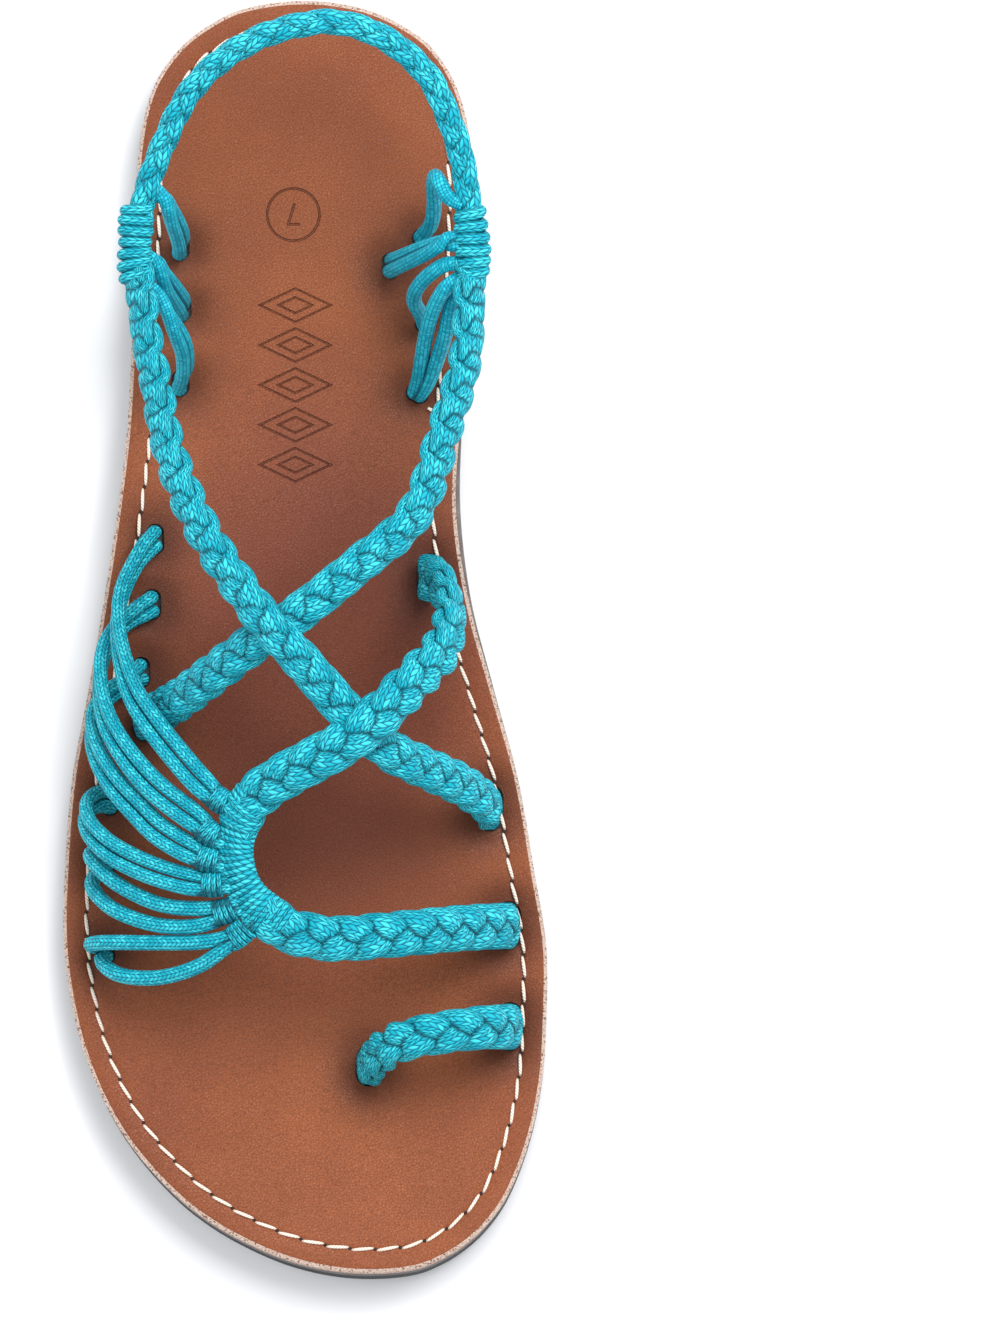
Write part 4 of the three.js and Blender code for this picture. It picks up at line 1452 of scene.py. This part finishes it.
@dataclass
class Winding(Strap):
    """Cord wound round a strap in close turns.

    The turns swell and shrink in groups, and lean along the strap in a slow wave.
    """

    width: float = KNOT_WIDTH
    thickness: float = KNOT_THICKNESS
    start: float = 0.0
    end: float = math.inf
    pitch: float = 2.07 * MM
    cord_half: float = 1.2 * MM
    groups: int = 1
    swell: float = 0.03
    lean: float = 0.25 * MM
    flatness: float = 1.0
    flank_shade: float = 0.7
    sides: int = 12
    rows_round: int = 10
    steps_per_turn: int = 28
    squareness: float = 0.85
    lean_wave: float = 3.1 * MM
    overlap: float = 0.53

    def add_to(self, maker: MeshMaker) -> None:
        """Adds the wound cord to a mesh.

        Args:
            maker: the mesh.
        """
        walk = self.walk()
        last = min(self.end, walk.length)
        turns = (last - self.start) / self.pitch
        distance = np.linspace(self.start, last, int(turns * self.steps_per_turn) + 1)
        columns = (walk.point, walk.along, walk.side, walk.out)
        point, along, side, out = (
            np.stack([np.interp(distance, walk.distance, column[:, k]) for k in range(3)], axis=1)
            for column in columns
        )
        gone = distance - self.start
        angle = 2 * math.pi * gone / self.pitch
        bulge = 1 - self.swell * np.cos(2 * math.pi * self.groups * gone / (last - self.start))
        cos = np.sign(np.cos(angle)) * np.abs(np.cos(angle)) ** self.squareness
        sin = np.sign(np.sin(angle)) * np.abs(np.sin(angle)) ** self.squareness
        reach = ((self.width / 2 - self.cord_half) * bulge * cos)[:, None]
        rise = ((self.thickness / 2 - self.cord_half) * bulge * sin)[:, None]
        slip = (self.lean * np.cos(angle) * np.sin(gone / self.lean_wave))[:, None]
        ring = side * reach + out * rise
        centre = point + ring + along * slip
        ahead = unit(np.gradient(centre, axis=0))
        across = unit(np.cross(unit(ring), ahead))
        face = np.cross(ahead, across)
        maker.tube(
            centre,
            across,
            face,
            self.pitch * self.overlap,
            self.cord_half,
            self.sides,
            self.rows_round,
            flatness=self.flatness,
            flank_shade=self.flank_shade,
        )


@dataclass
class Cord(Strap):
    """A round cord, or two side by side, that goes down into a hole."""

    width: float = CORD_DIAMETER
    sewn: Sewn = Sewn.END
    step: float = 0.6 * MM
    weave: float = 1.2
    flank_shade: float = 0.45
    sides: int = 18
    rows_round: int = 12
    wave_length: float = 13 * MM
    wave_rise: float = 0.3 * MM
    pair_rise: float = 0.1 * MM
    pair_half: float = 0.455 * CORD_DIAMETER

    def offsets(self, walk: Walk) -> list[tuple[np.ndarray, np.ndarray]]:
        """How far each cord runs to the side of the route and above it.

        Args:
            walk: steps along the route.

        Returns:
            Both distances at each step, for each cord.
        """
        if self.width <= CORD_DIAMETER:
            zero = np.zeros(len(walk.distance))
            return [(zero, zero)]
        spread = ease(walk.distance / KNUCKLE_LENGTH)
        start = (KNUCKLE_WIDTH - CORD_DIAMETER) / 2
        half = start + (self.width / 4 - start) * spread
        rise = self.wave_rise * np.sin(walk.distance / self.wave_length) + self.pair_rise
        return [(half, rise), (-half, -rise)]

    def add_to(self, maker: MeshMaker) -> None:
        """Adds the cord to a mesh.

        Args:
            maker: the mesh.
        """
        walk = self.walk()
        half = CORD_DIAMETER / 2 if self.width <= CORD_DIAMETER else self.pair_half
        for shift, rise in self.offsets(walk):
            centre = walk.point + walk.side * shift[:, None] + walk.out * rise[:, None]
            along = unit(np.gradient(centre, axis=0))
            side = unit(np.cross(walk.out, along))
            out = np.cross(along, side)
            maker.tube(
                centre,
                side,
                out,
                half,
                half,
                self.sides,
                self.rows_round,
                flank_shade=self.flank_shade,
                map_scale=self.weave,
            )


@dataclass
class Upper:
    """The braids, the wrapped arc and the two knots."""

    finishes: Finishes
    rear_front: Braid = field(
        default_factory=lambda: Braid(REAR_FRONT_ROUTE, FOOT_AXIS, Sewn.START)
    )
    fore_front: Braid = field(
        default_factory=lambda: Braid(FORE_FRONT_ROUTE, FOOT_AXIS, Sewn.END)
    )
    toe_loop: Braid = field(
        default_factory=lambda: Braid(
            TOE_LOOP_ROUTE, BIG_TOE_AXIS, Sewn.BOTH, end_width=TOE_LOOP_NECK, inward=-1.0
        )
    )

    def ankle(self, rows: Rows) -> Braid:
        """An ankle braid, narrow at the knot.

        Args:
            rows: its route.

        Returns:
            The braid.
        """
        return Braid(
            rows,
            FOOT_AXIS,
            Sewn.END,
            start_width=ANKLE_BRAID_NECK,
            end_width=ANKLE_BRAID_WIDTH,
            thickness=ANKLE_BRAID_THICKNESS,
            strand_share=0.31,
            neck_share=0.43,
            neck_turn=2.2,
            seam=0.7 * MM,
        )

    def braids(self) -> dict[str, Braid]:
        """Every braid of the upper.

        Returns:
            The braids by their pieces' names.
        """
        heel = Braid(
            HEEL_BRAID_ROUTE,
            None,
            start_width=HEEL_BRAID_WIDTH,
            end_width=HEEL_BRAID_WIDTH,
            thickness=HEEL_BRAID_THICKNESS,
            lobe=HEEL_BRAID_LOBE,
            strand_share=0.34,
            neck_share=0.34,
            lift_share=0.21,
            rows_round=12,
            sides=16,
            seam=0.45 * MM,
        )
        return {
            "front_braid_rear": self.rear_front,
            "front_braid_fore": self.fore_front,
            "ankle_braid_upper": self.ankle(UPPER_ANKLE_ROUTE),
            "ankle_braid_lower": self.ankle(LOWER_ANKLE_ROUTE),
            "heel_braid": heel,
        }

    def windings(self) -> dict[str, Winding]:
        """The wrapped arc and the knots.

        Returns:
            The windings by their pieces' names.
        """
        arc = Winding(
            ARC_ROUTE,
            FOOT_AXIS,
            width=ARC_WIDTH + 0.6 * MM,
            thickness=ARC_THICKNESS,
            pitch=1.3 * MM,
            cord_half=0.8 * MM,
            rows_round=5,
            groups=3,
            swell=0.02,
            lean=0.25 * MM,
            flatness=0.6,
            flank_shade=0.4,
        )
        band = Winding(
            ARC_ROUTE,
            FOOT_AXIS,
            width=ARC_WIDTH + 1.0 * MM,
            thickness=ARC_THICKNESS + 1.0 * MM,
            start=2.2 * MM,
            end=7.4 * MM,
            pitch=1.75 * MM,
            cord_half=1.1 * MM,
            rows_round=8,
            flatness=0.8,
            flank_shade=0.6,
        )
        return {
            "wrapped_arc": arc,
            "arc_band": band,
            "outer_knot": Winding(OUTER_KNOT_ROUTE, None, groups=2, swell=0.08, lean=0.45 * MM),
            "inner_knot": Winding(
                INNER_KNOT_ROUTE, None, pitch=2.3 * MM, cord_half=1.3 * MM, swell=0.06, lean=0.55 * MM
            ),
        }

    def slots(self) -> list[Slot]:
        """The holes in the footbed that the braids need.

        Returns:
            The holes.
        """
        found = []
        for braid in (self.toe_loop, *self.braids().values()):
            found += braid.slots((braid.start_width, braid.end_width), braid.thickness)
        return found

    def build(self) -> list[Piece]:
        """Builds the pieces of the upper and the toe loop.

        Returns:
            The pieces.
        """
        pieces = []
        straps = {**self.braids(), **self.windings(), "toe_braid": self.toe_loop}
        for name, strap in straps.items():
            maker = MeshMaker()
            strap.add_to(maker)
            made = maker.build(name, self.finishes.cord, strap.seam)
            node = "toe_loop" if strap is self.toe_loop else "upper"
            pieces.append(Piece(made, "teal_cord", (node,)))
        return pieces


@dataclass
class CordSet:
    """The cords that go down to the footbed, one piece for each node of the part."""

    finishes: Finishes
    collar_start: float = 3.5 * MM
    collar_end: float = 7.2 * MM
    # Painted shade on the flanks of the fan cords and of the side cords.
    fan_flank_shade: float = 0.45
    side_flank_shade: float = 0.15

    def cords(self) -> dict[str, list[Cord]]:
        """The strands of each cord node.

        Returns:
            The strands by their node's name.
        """
        groups = (
            ("fan_cord", FAN_CORDS, FAN_AXIS, self.fan_flank_shade),
            ("side_cord_outer", OUTER_SIDE_CORDS, SIDE_AXIS, self.side_flank_shade),
            ("side_cord_inner", INNER_SIDE_CORDS, SIDE_AXIS, self.side_flank_shade),
        )
        found = {}
        for stem, nodes, axis, flank_shade in groups:
            for number, strands in enumerate(nodes, start=1):
                found[f"{stem}_{number}"] = [
                    Cord(rows, axis, width=width, flank_shade=flank_shade) for width, rows in strands
                ]
        return found

    def collar(self, strands: Sequence[tuple[float, Rows]]) -> Winding:
        """The short winding that holds a pair of fan cords at the arc.

        Args:
            strands: width and route of each strand of the pair.

        Returns:
            The winding round the pair.
        """
        count = min(len(rows) for _, rows in strands)
        route = np.mean([rows[:count] for _, rows in strands], axis=0)
        return Winding(
            route,
            FAN_AXIS,
            width=KNUCKLE_WIDTH + 1.0 * MM,
            thickness=CORD_DIAMETER + 0.9 * MM,
            start=self.collar_start,
            end=self.collar_end,
            pitch=0.9 * MM,
            cord_half=0.6 * MM,
            rows_round=4,
            lean=0.15 * MM,
            flatness=0.7,
            flank_shade=0.5,
        )

    def slots(self) -> list[Slot]:
        """The holes in the footbed that the cords need.

        Returns:
            The holes.
        """
        found = []
        for strands in self.cords().values():
            for cord in strands:
                found += cord.slots((cord.width, cord.width), CORD_DIAMETER)
        return found

    def build(self) -> list[Piece]:
        """Builds the cords.

        Returns:
            One piece for each node.
        """
        pieces = []
        collars = {
            f"fan_cord_{number}": self.collar(strands)
            for number, strands in enumerate(FAN_CORDS, start=1)
        }
        for node, strands in self.cords().items():
            maker = MeshMaker()
            for cord in strands:
                cord.add_to(maker)
            if node in collars:
                collars[node].add_to(maker)
            is_side = node.startswith("side")
            finish = self.finishes.ribbed_cord if is_side else self.finishes.cord
            made = maker.build(f"{node}_braided", finish)
            pieces.append(Piece(made, "teal_cord", (node,)))
        return pieces


@dataclass
class SoleLayer:
    """One layer of the sole, as a grid that is wrapped round its section from heel to toe.

    The edge lists how far inside the outline each ring of the top is, and how far below the top.
    """

    name: str
    has_ledge: bool
    low: float
    high: float
    stations: int = 240
    columns: int = 8
    edge: Rows = ()

    def section(self) -> list[tuple[float, float, float]]:
        """Points round the section.

        Returns:
            Share across, inset and height of each point.
        """
        steps = [i / self.columns for i in range(self.columns + 1)]
        inset = self.edge[-1][0] if self.edge else 0.0
        right = [(1.0, place, self.high - drop) for place, drop in self.edge[:-1]]
        left = [(0.0, place, self.high - drop) for place, drop in reversed(self.edge[:-1])]
        top = [(share, inset, self.high) for share in reversed(steps)]
        bottom = [(share, 0.0, self.low) for share in steps]
        return [*bottom, *right, *top, *left, bottom[0]]

    def build(self, material: bpy.types.Material) -> bpy.types.Object:
        """Builds the closed layer.

        Args:
            material: its finish.

        Returns:
            The layer's object.
        """
        section = self.section()
        around = len(section) - 1
        only_nothing()
        bpy.ops.mesh.primitive_grid_add(x_subdivisions=self.stations, y_subdivisions=around, size=1)
        layer = bpy.context.active_object
        layer.name = self.name
        flat = np.array([vertex.co[:2] for vertex in layer.data.vertices]) + 0.5
        station = np.rint(flat[:, 0] * self.stations).astype(int)
        corner = np.rint(flat[:, 1] * around).astype(int)
        share, inset, height = (np.array(column)[corner] for column in zip(*section))
        place = np.zeros((len(flat), 2))
        for value in np.unique(inset):
            outer, inner = PLAN.edges(self.stations, self.has_ledge, value)
            chosen = inset == value
            near, far = outer[station[chosen]], inner[station[chosen]]
            place[chosen] = near + (far - near) * share[chosen][:, None]
        points = PLAN.place(place, height)
        layer.data.vertices.foreach_set("co", points.astype(np.float32).ravel())
        level = layer.data.attributes.new("level", "FLOAT", "POINT")
        level.data.foreach_set("value", height.astype(np.float32))
        layer.data.update()
        only(layer)
        bpy.ops.object.mode_set(mode="EDIT")
        bpy.ops.mesh.select_all(action="SELECT")
        bpy.ops.mesh.remove_doubles(threshold=MERGE_DISTANCE)
        bpy.ops.mesh.normals_make_consistent(inside=False)
        bpy.ops.object.mode_set(mode="OBJECT")
        layer.data.materials.append(material)
        return layer


def only_nothing() -> None:
    """Deselects everything."""
    bpy.ops.object.select_all(action="DESELECT")


def join(pieces: Sequence[bpy.types.Object]) -> bpy.types.Object:
    """Joins pieces.

    Args:
        pieces: the pieces.

    Returns:
        The one object that is left.
    """
    only_nothing()
    for piece in pieces:
        piece.select_set(True)
    bpy.context.view_layer.objects.active = pieces[0]
    bpy.ops.object.join()
    return bpy.context.active_object


def carve(piece: bpy.types.Object, cutter: bpy.types.Object, has_overlaps: bool) -> None:
    """Cuts an object out of a piece and removes it.

    Args:
        piece: the piece.
        cutter: the closed object.
        has_overlaps: whether parts of the cutter overlap.
    """
    cut = piece.modifiers.new("cut", "BOOLEAN")
    cut.operation = "DIFFERENCE"
    cut.solver = "EXACT"
    cut.use_self = has_overlaps
    cut.object = cutter
    only(piece)
    bpy.ops.object.modifier_apply(modifier=cut.name)
    bpy.data.objects.remove(cutter)


def smooth_by_angle(piece: bpy.types.Object) -> None:
    """Smooth shading with sharp edges.

    Args:
        piece: the piece.
    """
    only(piece)
    bpy.ops.object.shade_smooth_by_angle(angle=SHARP_ANGLE)
    only_nothing()


@dataclass
class Footbed:
    """The tan footbed with its raw rim, holes, dimples and stitching."""

    finishes: Finishes
    slots: list[Slot]
    rim_width: float = 0.7 * MM
    rim_drop: float = 0.5 * MM
    clearance: float = 0.3 * MM
    cutter_sides: int = 28
    cutter_length: float = 24 * MM
    dimple_depth: float = 0.9 * MM
    dimple_reach: float = 3.2 * MM
    hole_shade_reach: float = 5.5 * MM
    stitch_inset: float = 4.6 * MM
    stitch_pitch: float = 4.9 * MM
    stitch_length: float = 4.3 * MM
    stitch_half: float = 0.35 * MM
    stitch_lean: float = 0.5 * MM
    furrow_half: float = 0.7 * MM
    furrow_depth: float = 0.25 * MM
    stitch_sink: float = 0.3 * MM
    stitch_rise: float = 0.45 * MM
    line_steps: int = 400
    thread_steps: int = 9
    thread_flatness: float = 0.85
    prick_half: float = 0.42 * MM
    prick_sink: float = 0.26 * MM
    prick_steps: int = 5
    prick_girth: float = 1.15
    knot_place: float = 44.8 * MM
    knot_length: float = 2.4 * MM
    knot_lean: float = 0.5 * MM
    knot_rise: float = 0.35 * MM
    knot_girth: float = 2.3
    tail_length: float = 1.9 * MM
    tail_drift: float = 1.1 * MM
    raw_share: float = 0.4
    round_width: float = 0.4 * MM
    round_drop: float = 0.05 * MM
    top_margin: float = 0.45 * MM

    def build(self) -> list[Piece]:
        """Builds the footbed and its stitches.

        Returns:
            The footbed, the stitches and their holes.
        """
        edge = (
            (0.0, self.rim_drop),
            (self.rim_width, self.round_drop),
            (self.rim_width + self.round_width, 0.0),
            (self.stitch_inset - self.furrow_half, 0.0),
            (self.stitch_inset, self.furrow_depth),
            (self.stitch_inset + self.furrow_half, 0.0),
        )
        layer = SoleLayer(
            "footbed",
            True,
            INSOLE_BASE,
            INSOLE_TOP,
            stations=300,
            columns=60,
            edge=edge,
        )
        bed = layer.build(self.finishes.leather)
        bed.data.materials.append(self.finishes.raw_edge)
        bed.data.materials.append(self.finishes.hole_shadow)
        self.dress_rim(bed)
        self.press_dimples(bed)
        self.cut_holes(bed)
        self.shade_round_holes(bed)
        smooth_by_angle(bed)
        return [
            Piece(bed, "tan_leather", ("insole",)),
            Piece(self.stitches(), "tan_leather"),
            Piece(self.pricks(), "tan_leather"),
        ]

    def dress_rim(self, bed: bpy.types.Object) -> None:
        """Gives the rim, the wall and the underside the raw finish.

        Args:
            bed: the footbed.
        """
        level = np.zeros(len(bed.data.vertices), np.float32)
        bed.data.attributes["level"].data.foreach_get("value", level)
        limit = INSOLE_TOP - self.rim_drop * self.raw_share
        for face in bed.data.polygons:
            if level[list(face.vertices)].mean() < limit:
                face.material_index = 1

    @staticmethod
    def places(bed: bpy.types.Object) -> np.ndarray:
        """The places of the vertices.

        Args:
            bed: the footbed.

        Returns:
            x, y and z of each vertex.
        """
        points = np.empty(len(bed.data.vertices) * 3, np.float32)
        bed.data.vertices.foreach_get("co", points)
        return points.reshape(-1, 3).astype(float)

    def nearness(self, points: np.ndarray, reach: float) -> np.ndarray:
        """How near each point is to a hole, from 0 to 1 at its edge.

        Args:
            points: the points.
            reach: distance over which it fades.

        Returns:
            One value for each point.
        """
        near = np.zeros(len(points))
        for slot in self.slots:
            dx = points[:, 0] - slot.across
            dy = points[:, 1] - slot.along
            slide = np.clip(dx * slot.direction[0] + dy * slot.direction[1], -slot.reach, slot.reach)
            gap = np.hypot(dx - slide * slot.direction[0], dy - slide * slot.direction[1])
            past = np.maximum(0, gap - slot.radius)
            near = np.maximum(near, np.exp(-((past / reach) ** 2)))
        return near

    def press_dimples(self, bed: bpy.types.Object) -> None:
        """Draws the leather down round each hole.

        Args:
            bed: the footbed.
        """
        points = self.places(bed)
        depth = self.dimple_depth * self.nearness(points, self.dimple_reach)
        on_top = points[:, 2] > PLAN.top_at(points[:, 1]) - self.top_margin
        points[:, 2] -= np.where(on_top, depth, 0)
        bed.data.vertices.foreach_set("co", points.astype(np.float32).ravel())
        bed.data.update()

    def shade_round_holes(self, bed: bpy.types.Object) -> None:
        """Marks the painted shade round the holes, which the leather's finish darkens.

        Args:
            bed: the footbed.
        """
        hole_shade = bed.data.attributes.new("hole_shade", "FLOAT", "POINT")
        near = self.nearness(self.places(bed), self.hole_shade_reach)
        hole_shade.data.foreach_set("value", near.astype(np.float32))

    def cutter(self, slot: Slot) -> bpy.types.Object:
        """A rounded bar that cuts one hole.

        Args:
            slot: the hole's place and size.

        Returns:
            The cutting object.
        """
        only_nothing()
        bpy.ops.mesh.primitive_cylinder_add(
            vertices=self.cutter_sides,
            radius=slot.radius + self.clearance,
            depth=self.cutter_length,
        )
        bar = bpy.context.active_object
        for vertex in bar.data.vertices:
            vertex.co.x += math.copysign(slot.reach, vertex.co.x)
        turn = math.atan2(slot.direction[1], slot.direction[0])
        for vertex in bar.data.vertices:
            x, y = vertex.co.x, vertex.co.y
            vertex.co.x = slot.across + x * math.cos(turn) - y * math.sin(turn)
            vertex.co.y = slot.along + x * math.sin(turn) + y * math.cos(turn)
            vertex.co.z += INSOLE_TOP
        return bar

    def cut_holes(self, bed: bpy.types.Object) -> None:
        """Cuts every hole through the footbed.

        Args:
            bed: the footbed.
        """
        bars = [self.cutter(slot) for slot in self.slots]
        for bar in bars:
            for finish in (self.finishes.leather, self.finishes.raw_edge, self.finishes.hole_shadow):
                bar.data.materials.append(finish)
            # The hole walls get the dark finish, painted shade in the holes.
            for face in bar.data.polygons:
                face.material_index = 2
        carve(bed, join(bars), has_overlaps=True)

    def stitch_line(self, distance: np.ndarray) -> np.ndarray:
        """Places on the line of stitching.

        Args:
            distance: distances round the footbed, in pitches.

        Returns:
            x and y at each distance.
        """
        outer, inner = PLAN.edges(self.line_steps, True, self.stitch_inset)
        loop = np.vstack([outer, inner[-2:0:-1], outer[:1]])
        gone = np.concatenate([[0], np.cumsum(np.linalg.norm(np.diff(loop, axis=0), axis=1))])
        pitch = gone[-1] / self.stitch_count
        return np.stack([np.interp(distance * pitch, gone, loop[:, k]) for k in range(2)], axis=-1)

    @property
    def stitch_count(self) -> int:
        """Number of stitches round the footbed.

        Returns:
            The number.
        """
        outer, inner = PLAN.edges(self.line_steps, True, self.stitch_inset)
        sides = [np.linalg.norm(np.diff(line, axis=0), axis=1).sum() for line in (outer, inner)]
        return round(sum(sides) / self.stitch_pitch)

    def stitches(self) -> bpy.types.Object:
        """Builds the line of cream stitches and the knot of its thread.

        Returns:
            The stitches as one object.
        """
        maker = MeshMaker()
        shares = np.linspace(0, 1, self.thread_steps)
        arch = np.sin(math.pi * shares) ** 0.5
        for index in range(self.stitch_count):
            flat = self.stitch_line(index + 0.5 + (shares - 0.5) * self.stitch_length / self.stitch_pitch)
            ahead = unit(flat[-1] - flat[0])
            lean = np.stack([-ahead[1] * (shares - 0.5), ahead[0] * (shares - 0.5)], axis=1)
            rise = self.stitch_rise * arch - self.stitch_sink
            self.thread(maker, flat + self.stitch_lean * lean, rise, 0.55 + 0.45 * arch)
        line = self.stitch_line(np.linspace(0.5, 1, self.line_steps) * self.stitch_count)
        middle = line[np.argmin(np.abs(line[:, 1] - self.knot_place))]
        ball = np.sin(math.pi * np.linspace(0.02, 0.98, self.thread_steps)) ** 0.7
        flat = middle + np.outer(shares - 0.5, (self.knot_lean, self.knot_length))
        self.thread(maker, flat, self.knot_rise * ball, self.knot_girth * ball)
        tail = middle + np.stack([-self.tail_length * shares, self.tail_drift * (shares - 1.1)], axis=1)
        self.thread(maker, tail, 0.15 * MM * arch, 0.8 + 0.2 * arch)
        return maker.build("stitches", self.finishes.thread)

    def thread(self, maker: MeshMaker, flat: np.ndarray, rise: np.ndarray, girth: np.ndarray) -> None:
        """Adds a short stretch of thread.

        Args:
            maker: the mesh that it goes into.
            flat: x and y of its points.
            rise: height over the leather.
            girth: thickness, as a share of the stitches'.
        """
        centre = PLAN.place(flat, INSOLE_TOP + rise)
        along = unit(np.gradient(centre, axis=0))
        side = unit(np.cross(np.tile([0.0, 0.0, 1.0], (len(centre), 1)), along))
        half = self.stitch_half * girth
        maker.tube(
            centre,
            side,
            np.cross(along, side),
            half,
            half * self.thread_flatness,
            sides=8,
            rows=2,
        )

    def pricks(self) -> bpy.types.Object:
        """Builds painted shade for the holes between the stitches, as dark tubes sunk just under the
        leather.

        Returns:
            The holes as one object.
        """
        maker = MeshMaker()
        length = self.prick_half / self.stitch_pitch
        shares = np.linspace(-length, length, self.prick_steps)
        girth = 0.3 + 0.7 * np.sqrt(np.maximum(0, 1 - (shares / length) ** 2))
        for index in range(self.stitch_count):
            flat = self.stitch_line(index + 1.0 + shares)
            sunk = np.full(len(shares), -self.prick_sink)
            self.thread(maker, flat, sunk, self.prick_girth * girth)
        return maker.build("stitch_hole_shade", self.finishes.hole_shadow)


@dataclass
class Sole:
    """The grey midsole and the black outsole with its tread."""

    finishes: Finishes
    groove_depth: float = 1.2 * MM
    groove_width: float = 2.4 * MM
    groove_pitch: float = 9 * MM
    groove_rim: float = 7 * MM
    groove_start: float = 0.04

    def build(self) -> list[Piece]:
        """Builds both layers.

        Returns:
            The midsole and the outsole.
        """
        middle = SoleLayer("midsole_foam", False, MIDSOLE_BASE, MIDSOLE_BASE + MIDSOLE_THICKNESS)
        foam = middle.build(self.finishes.foam)
        smooth_by_angle(foam)
        rubber = SoleLayer("outsole_rubber", False, 0.0, OUTSOLE_THICKNESS).build(self.finishes.rubber)
        self.cut_tread(rubber)
        smooth_by_angle(rubber)
        return [
            Piece(foam, "grey_foam", ("midsole",)),
            Piece(rubber, "black_rubber", ("outsole",)),
        ]

    def cut_tread(self, rubber: bpy.types.Object) -> None:
        """Cuts the grooves across the underside of the heel and the ball.

        Args:
            rubber: the outsole.
        """
        bars = []
        for start, end in ((self.groove_start, FLAT_HEEL_END), (FLAT_BALL_START, FLAT_BALL_END)):
            for number in range(int((end - start) * SOLE_LENGTH / self.groove_pitch)):
                at = start + (number + 0.5) * self.groove_pitch / SOLE_LENGTH
                bars.append(self.groove(at))
        carve(rubber, join(bars), has_overlaps=False)

    def groove(self, at: float) -> bpy.types.Object:
        """A bar that cuts one groove.

        Args:
            at: its place, as a share of the length from the heel.

        Returns:
            The cutting object.
        """
        angle = np.array([math.acos(1 - 2 * at) / math.pi])
        left = -PLAN.reach(PLAN.outer, angle)[0] * BALL_WIDTH + self.groove_rim
        right = PLAN.reach(PLAN.inner, angle)[0] * BALL_WIDTH - self.groove_rim
        only_nothing()
        bpy.ops.mesh.primitive_cube_add(
            size=1,
            location=((left + right) / 2, (0.5 - at) * SOLE_LENGTH, 0),
            scale=(right - left, self.groove_width, 2 * self.groove_depth),
        )
        bpy.ops.object.transform_apply(location=True, rotation=True, scale=True)
        return bpy.context.active_object


@dataclass
class Studio:
    """The floor, the light and the camera."""

    camera_across: float = 38.2 * MM
    camera_along: float = -5.1 * MM
    camera_height: float = 3.0
    frame_height: float = 261.4 * MM
    sensor: float = 36.0
    far_clip: float = 20.0
    floor_size: float = 3.0
    key_place: tuple[float, float, float] = (0.5, 0.75, 1.45)
    key_size: float = 1.0
    key_watts: float = 28.0
    fill_place: tuple[float, float, float] = (-0.8, -0.2, 1.4)
    fill_size: float = 1.4
    fill_watts: float = 8.0
    sky: tuple[float, float, float, float] = (0.95, 0.98, 1.0, 1.0)
    sky_strength: float = 0.6

    def build(self) -> None:
        """Builds the stage."""
        only_nothing()
        bpy.ops.mesh.primitive_plane_add(size=self.floor_size, location=(0, 0, 0))
        floor = bpy.context.active_object
        floor.name = "floor"
        floor.data.materials.append(FloorFinish().make())
        self.lamp("key", self.key_place, self.key_size, self.key_watts)
        self.lamp("fill", self.fill_place, self.fill_size, self.fill_watts)
        world = bpy.data.worlds.new("studio")
        world.use_nodes = True
        background = world.node_tree.nodes["Background"]
        background.inputs["Color"].default_value = self.sky
        background.inputs["Strength"].default_value = self.sky_strength
        bpy.context.scene.world = world
        bpy.context.scene.view_settings.view_transform = "Standard"
        self.camera()

    def lamp(self, name: str, place: tuple[float, float, float], size: float, watts: float) -> None:
        """Adds a soft square lamp that faces the sandal.

        Args:
            name: its name.
            place: where it hangs.
            size: its width.
            watts: its power.
        """
        light = bpy.data.lights.new(name, "AREA")
        light.size = size
        light.energy = watts
        lamp = bpy.data.objects.new(name, light)
        lamp.location = place
        direction = -np.array(place)
        lamp.rotation_euler = (
            math.acos(-direction[2] / np.linalg.norm(direction)),
            0,
            math.atan2(direction[1], direction[0]) - math.pi / 2,
        )
        bpy.context.scene.collection.objects.link(lamp)

    def camera(self) -> None:
        """Adds the camera, which looks straight down with the heel at the top."""
        lens = bpy.data.cameras.new("camera")
        lens.sensor_width = self.sensor
        lens.lens = self.sensor * self.camera_height / self.frame_height
        lens.clip_end = self.far_clip
        camera = bpy.data.objects.new("camera", lens)
        camera.location = (self.camera_across, self.camera_along, self.camera_height)
        bpy.context.scene.collection.objects.link(camera)
        bpy.context.scene.camera = camera


def settle(pieces: Sequence[Piece]) -> None:
    """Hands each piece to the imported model's body and reports it.

    Args:
        pieces: the finished pieces.
    """
    for piece in pieces:
        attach(piece.made, BODY)
        if piece.nodes:
            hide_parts(*piece.nodes)
        LOG.info("%s: %d faces", piece.made.name, len(piece.made.data.polygons))


def main() -> None:
    """Builds the sandal and its studio."""
    logging.basicConfig(level=logging.INFO, format="%(name)s: %(message)s")
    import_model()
    finishes = make_finishes()
    Studio().build()
    upper = Upper(finishes)
    cords = CordSet(finishes)
    settle(Sole(finishes).build())
    settle(Footbed(finishes, upper.slots() + cords.slots()).build())
    settle(upper.build())
    settle(cords.build())


if __name__ == "__main__":
    main()
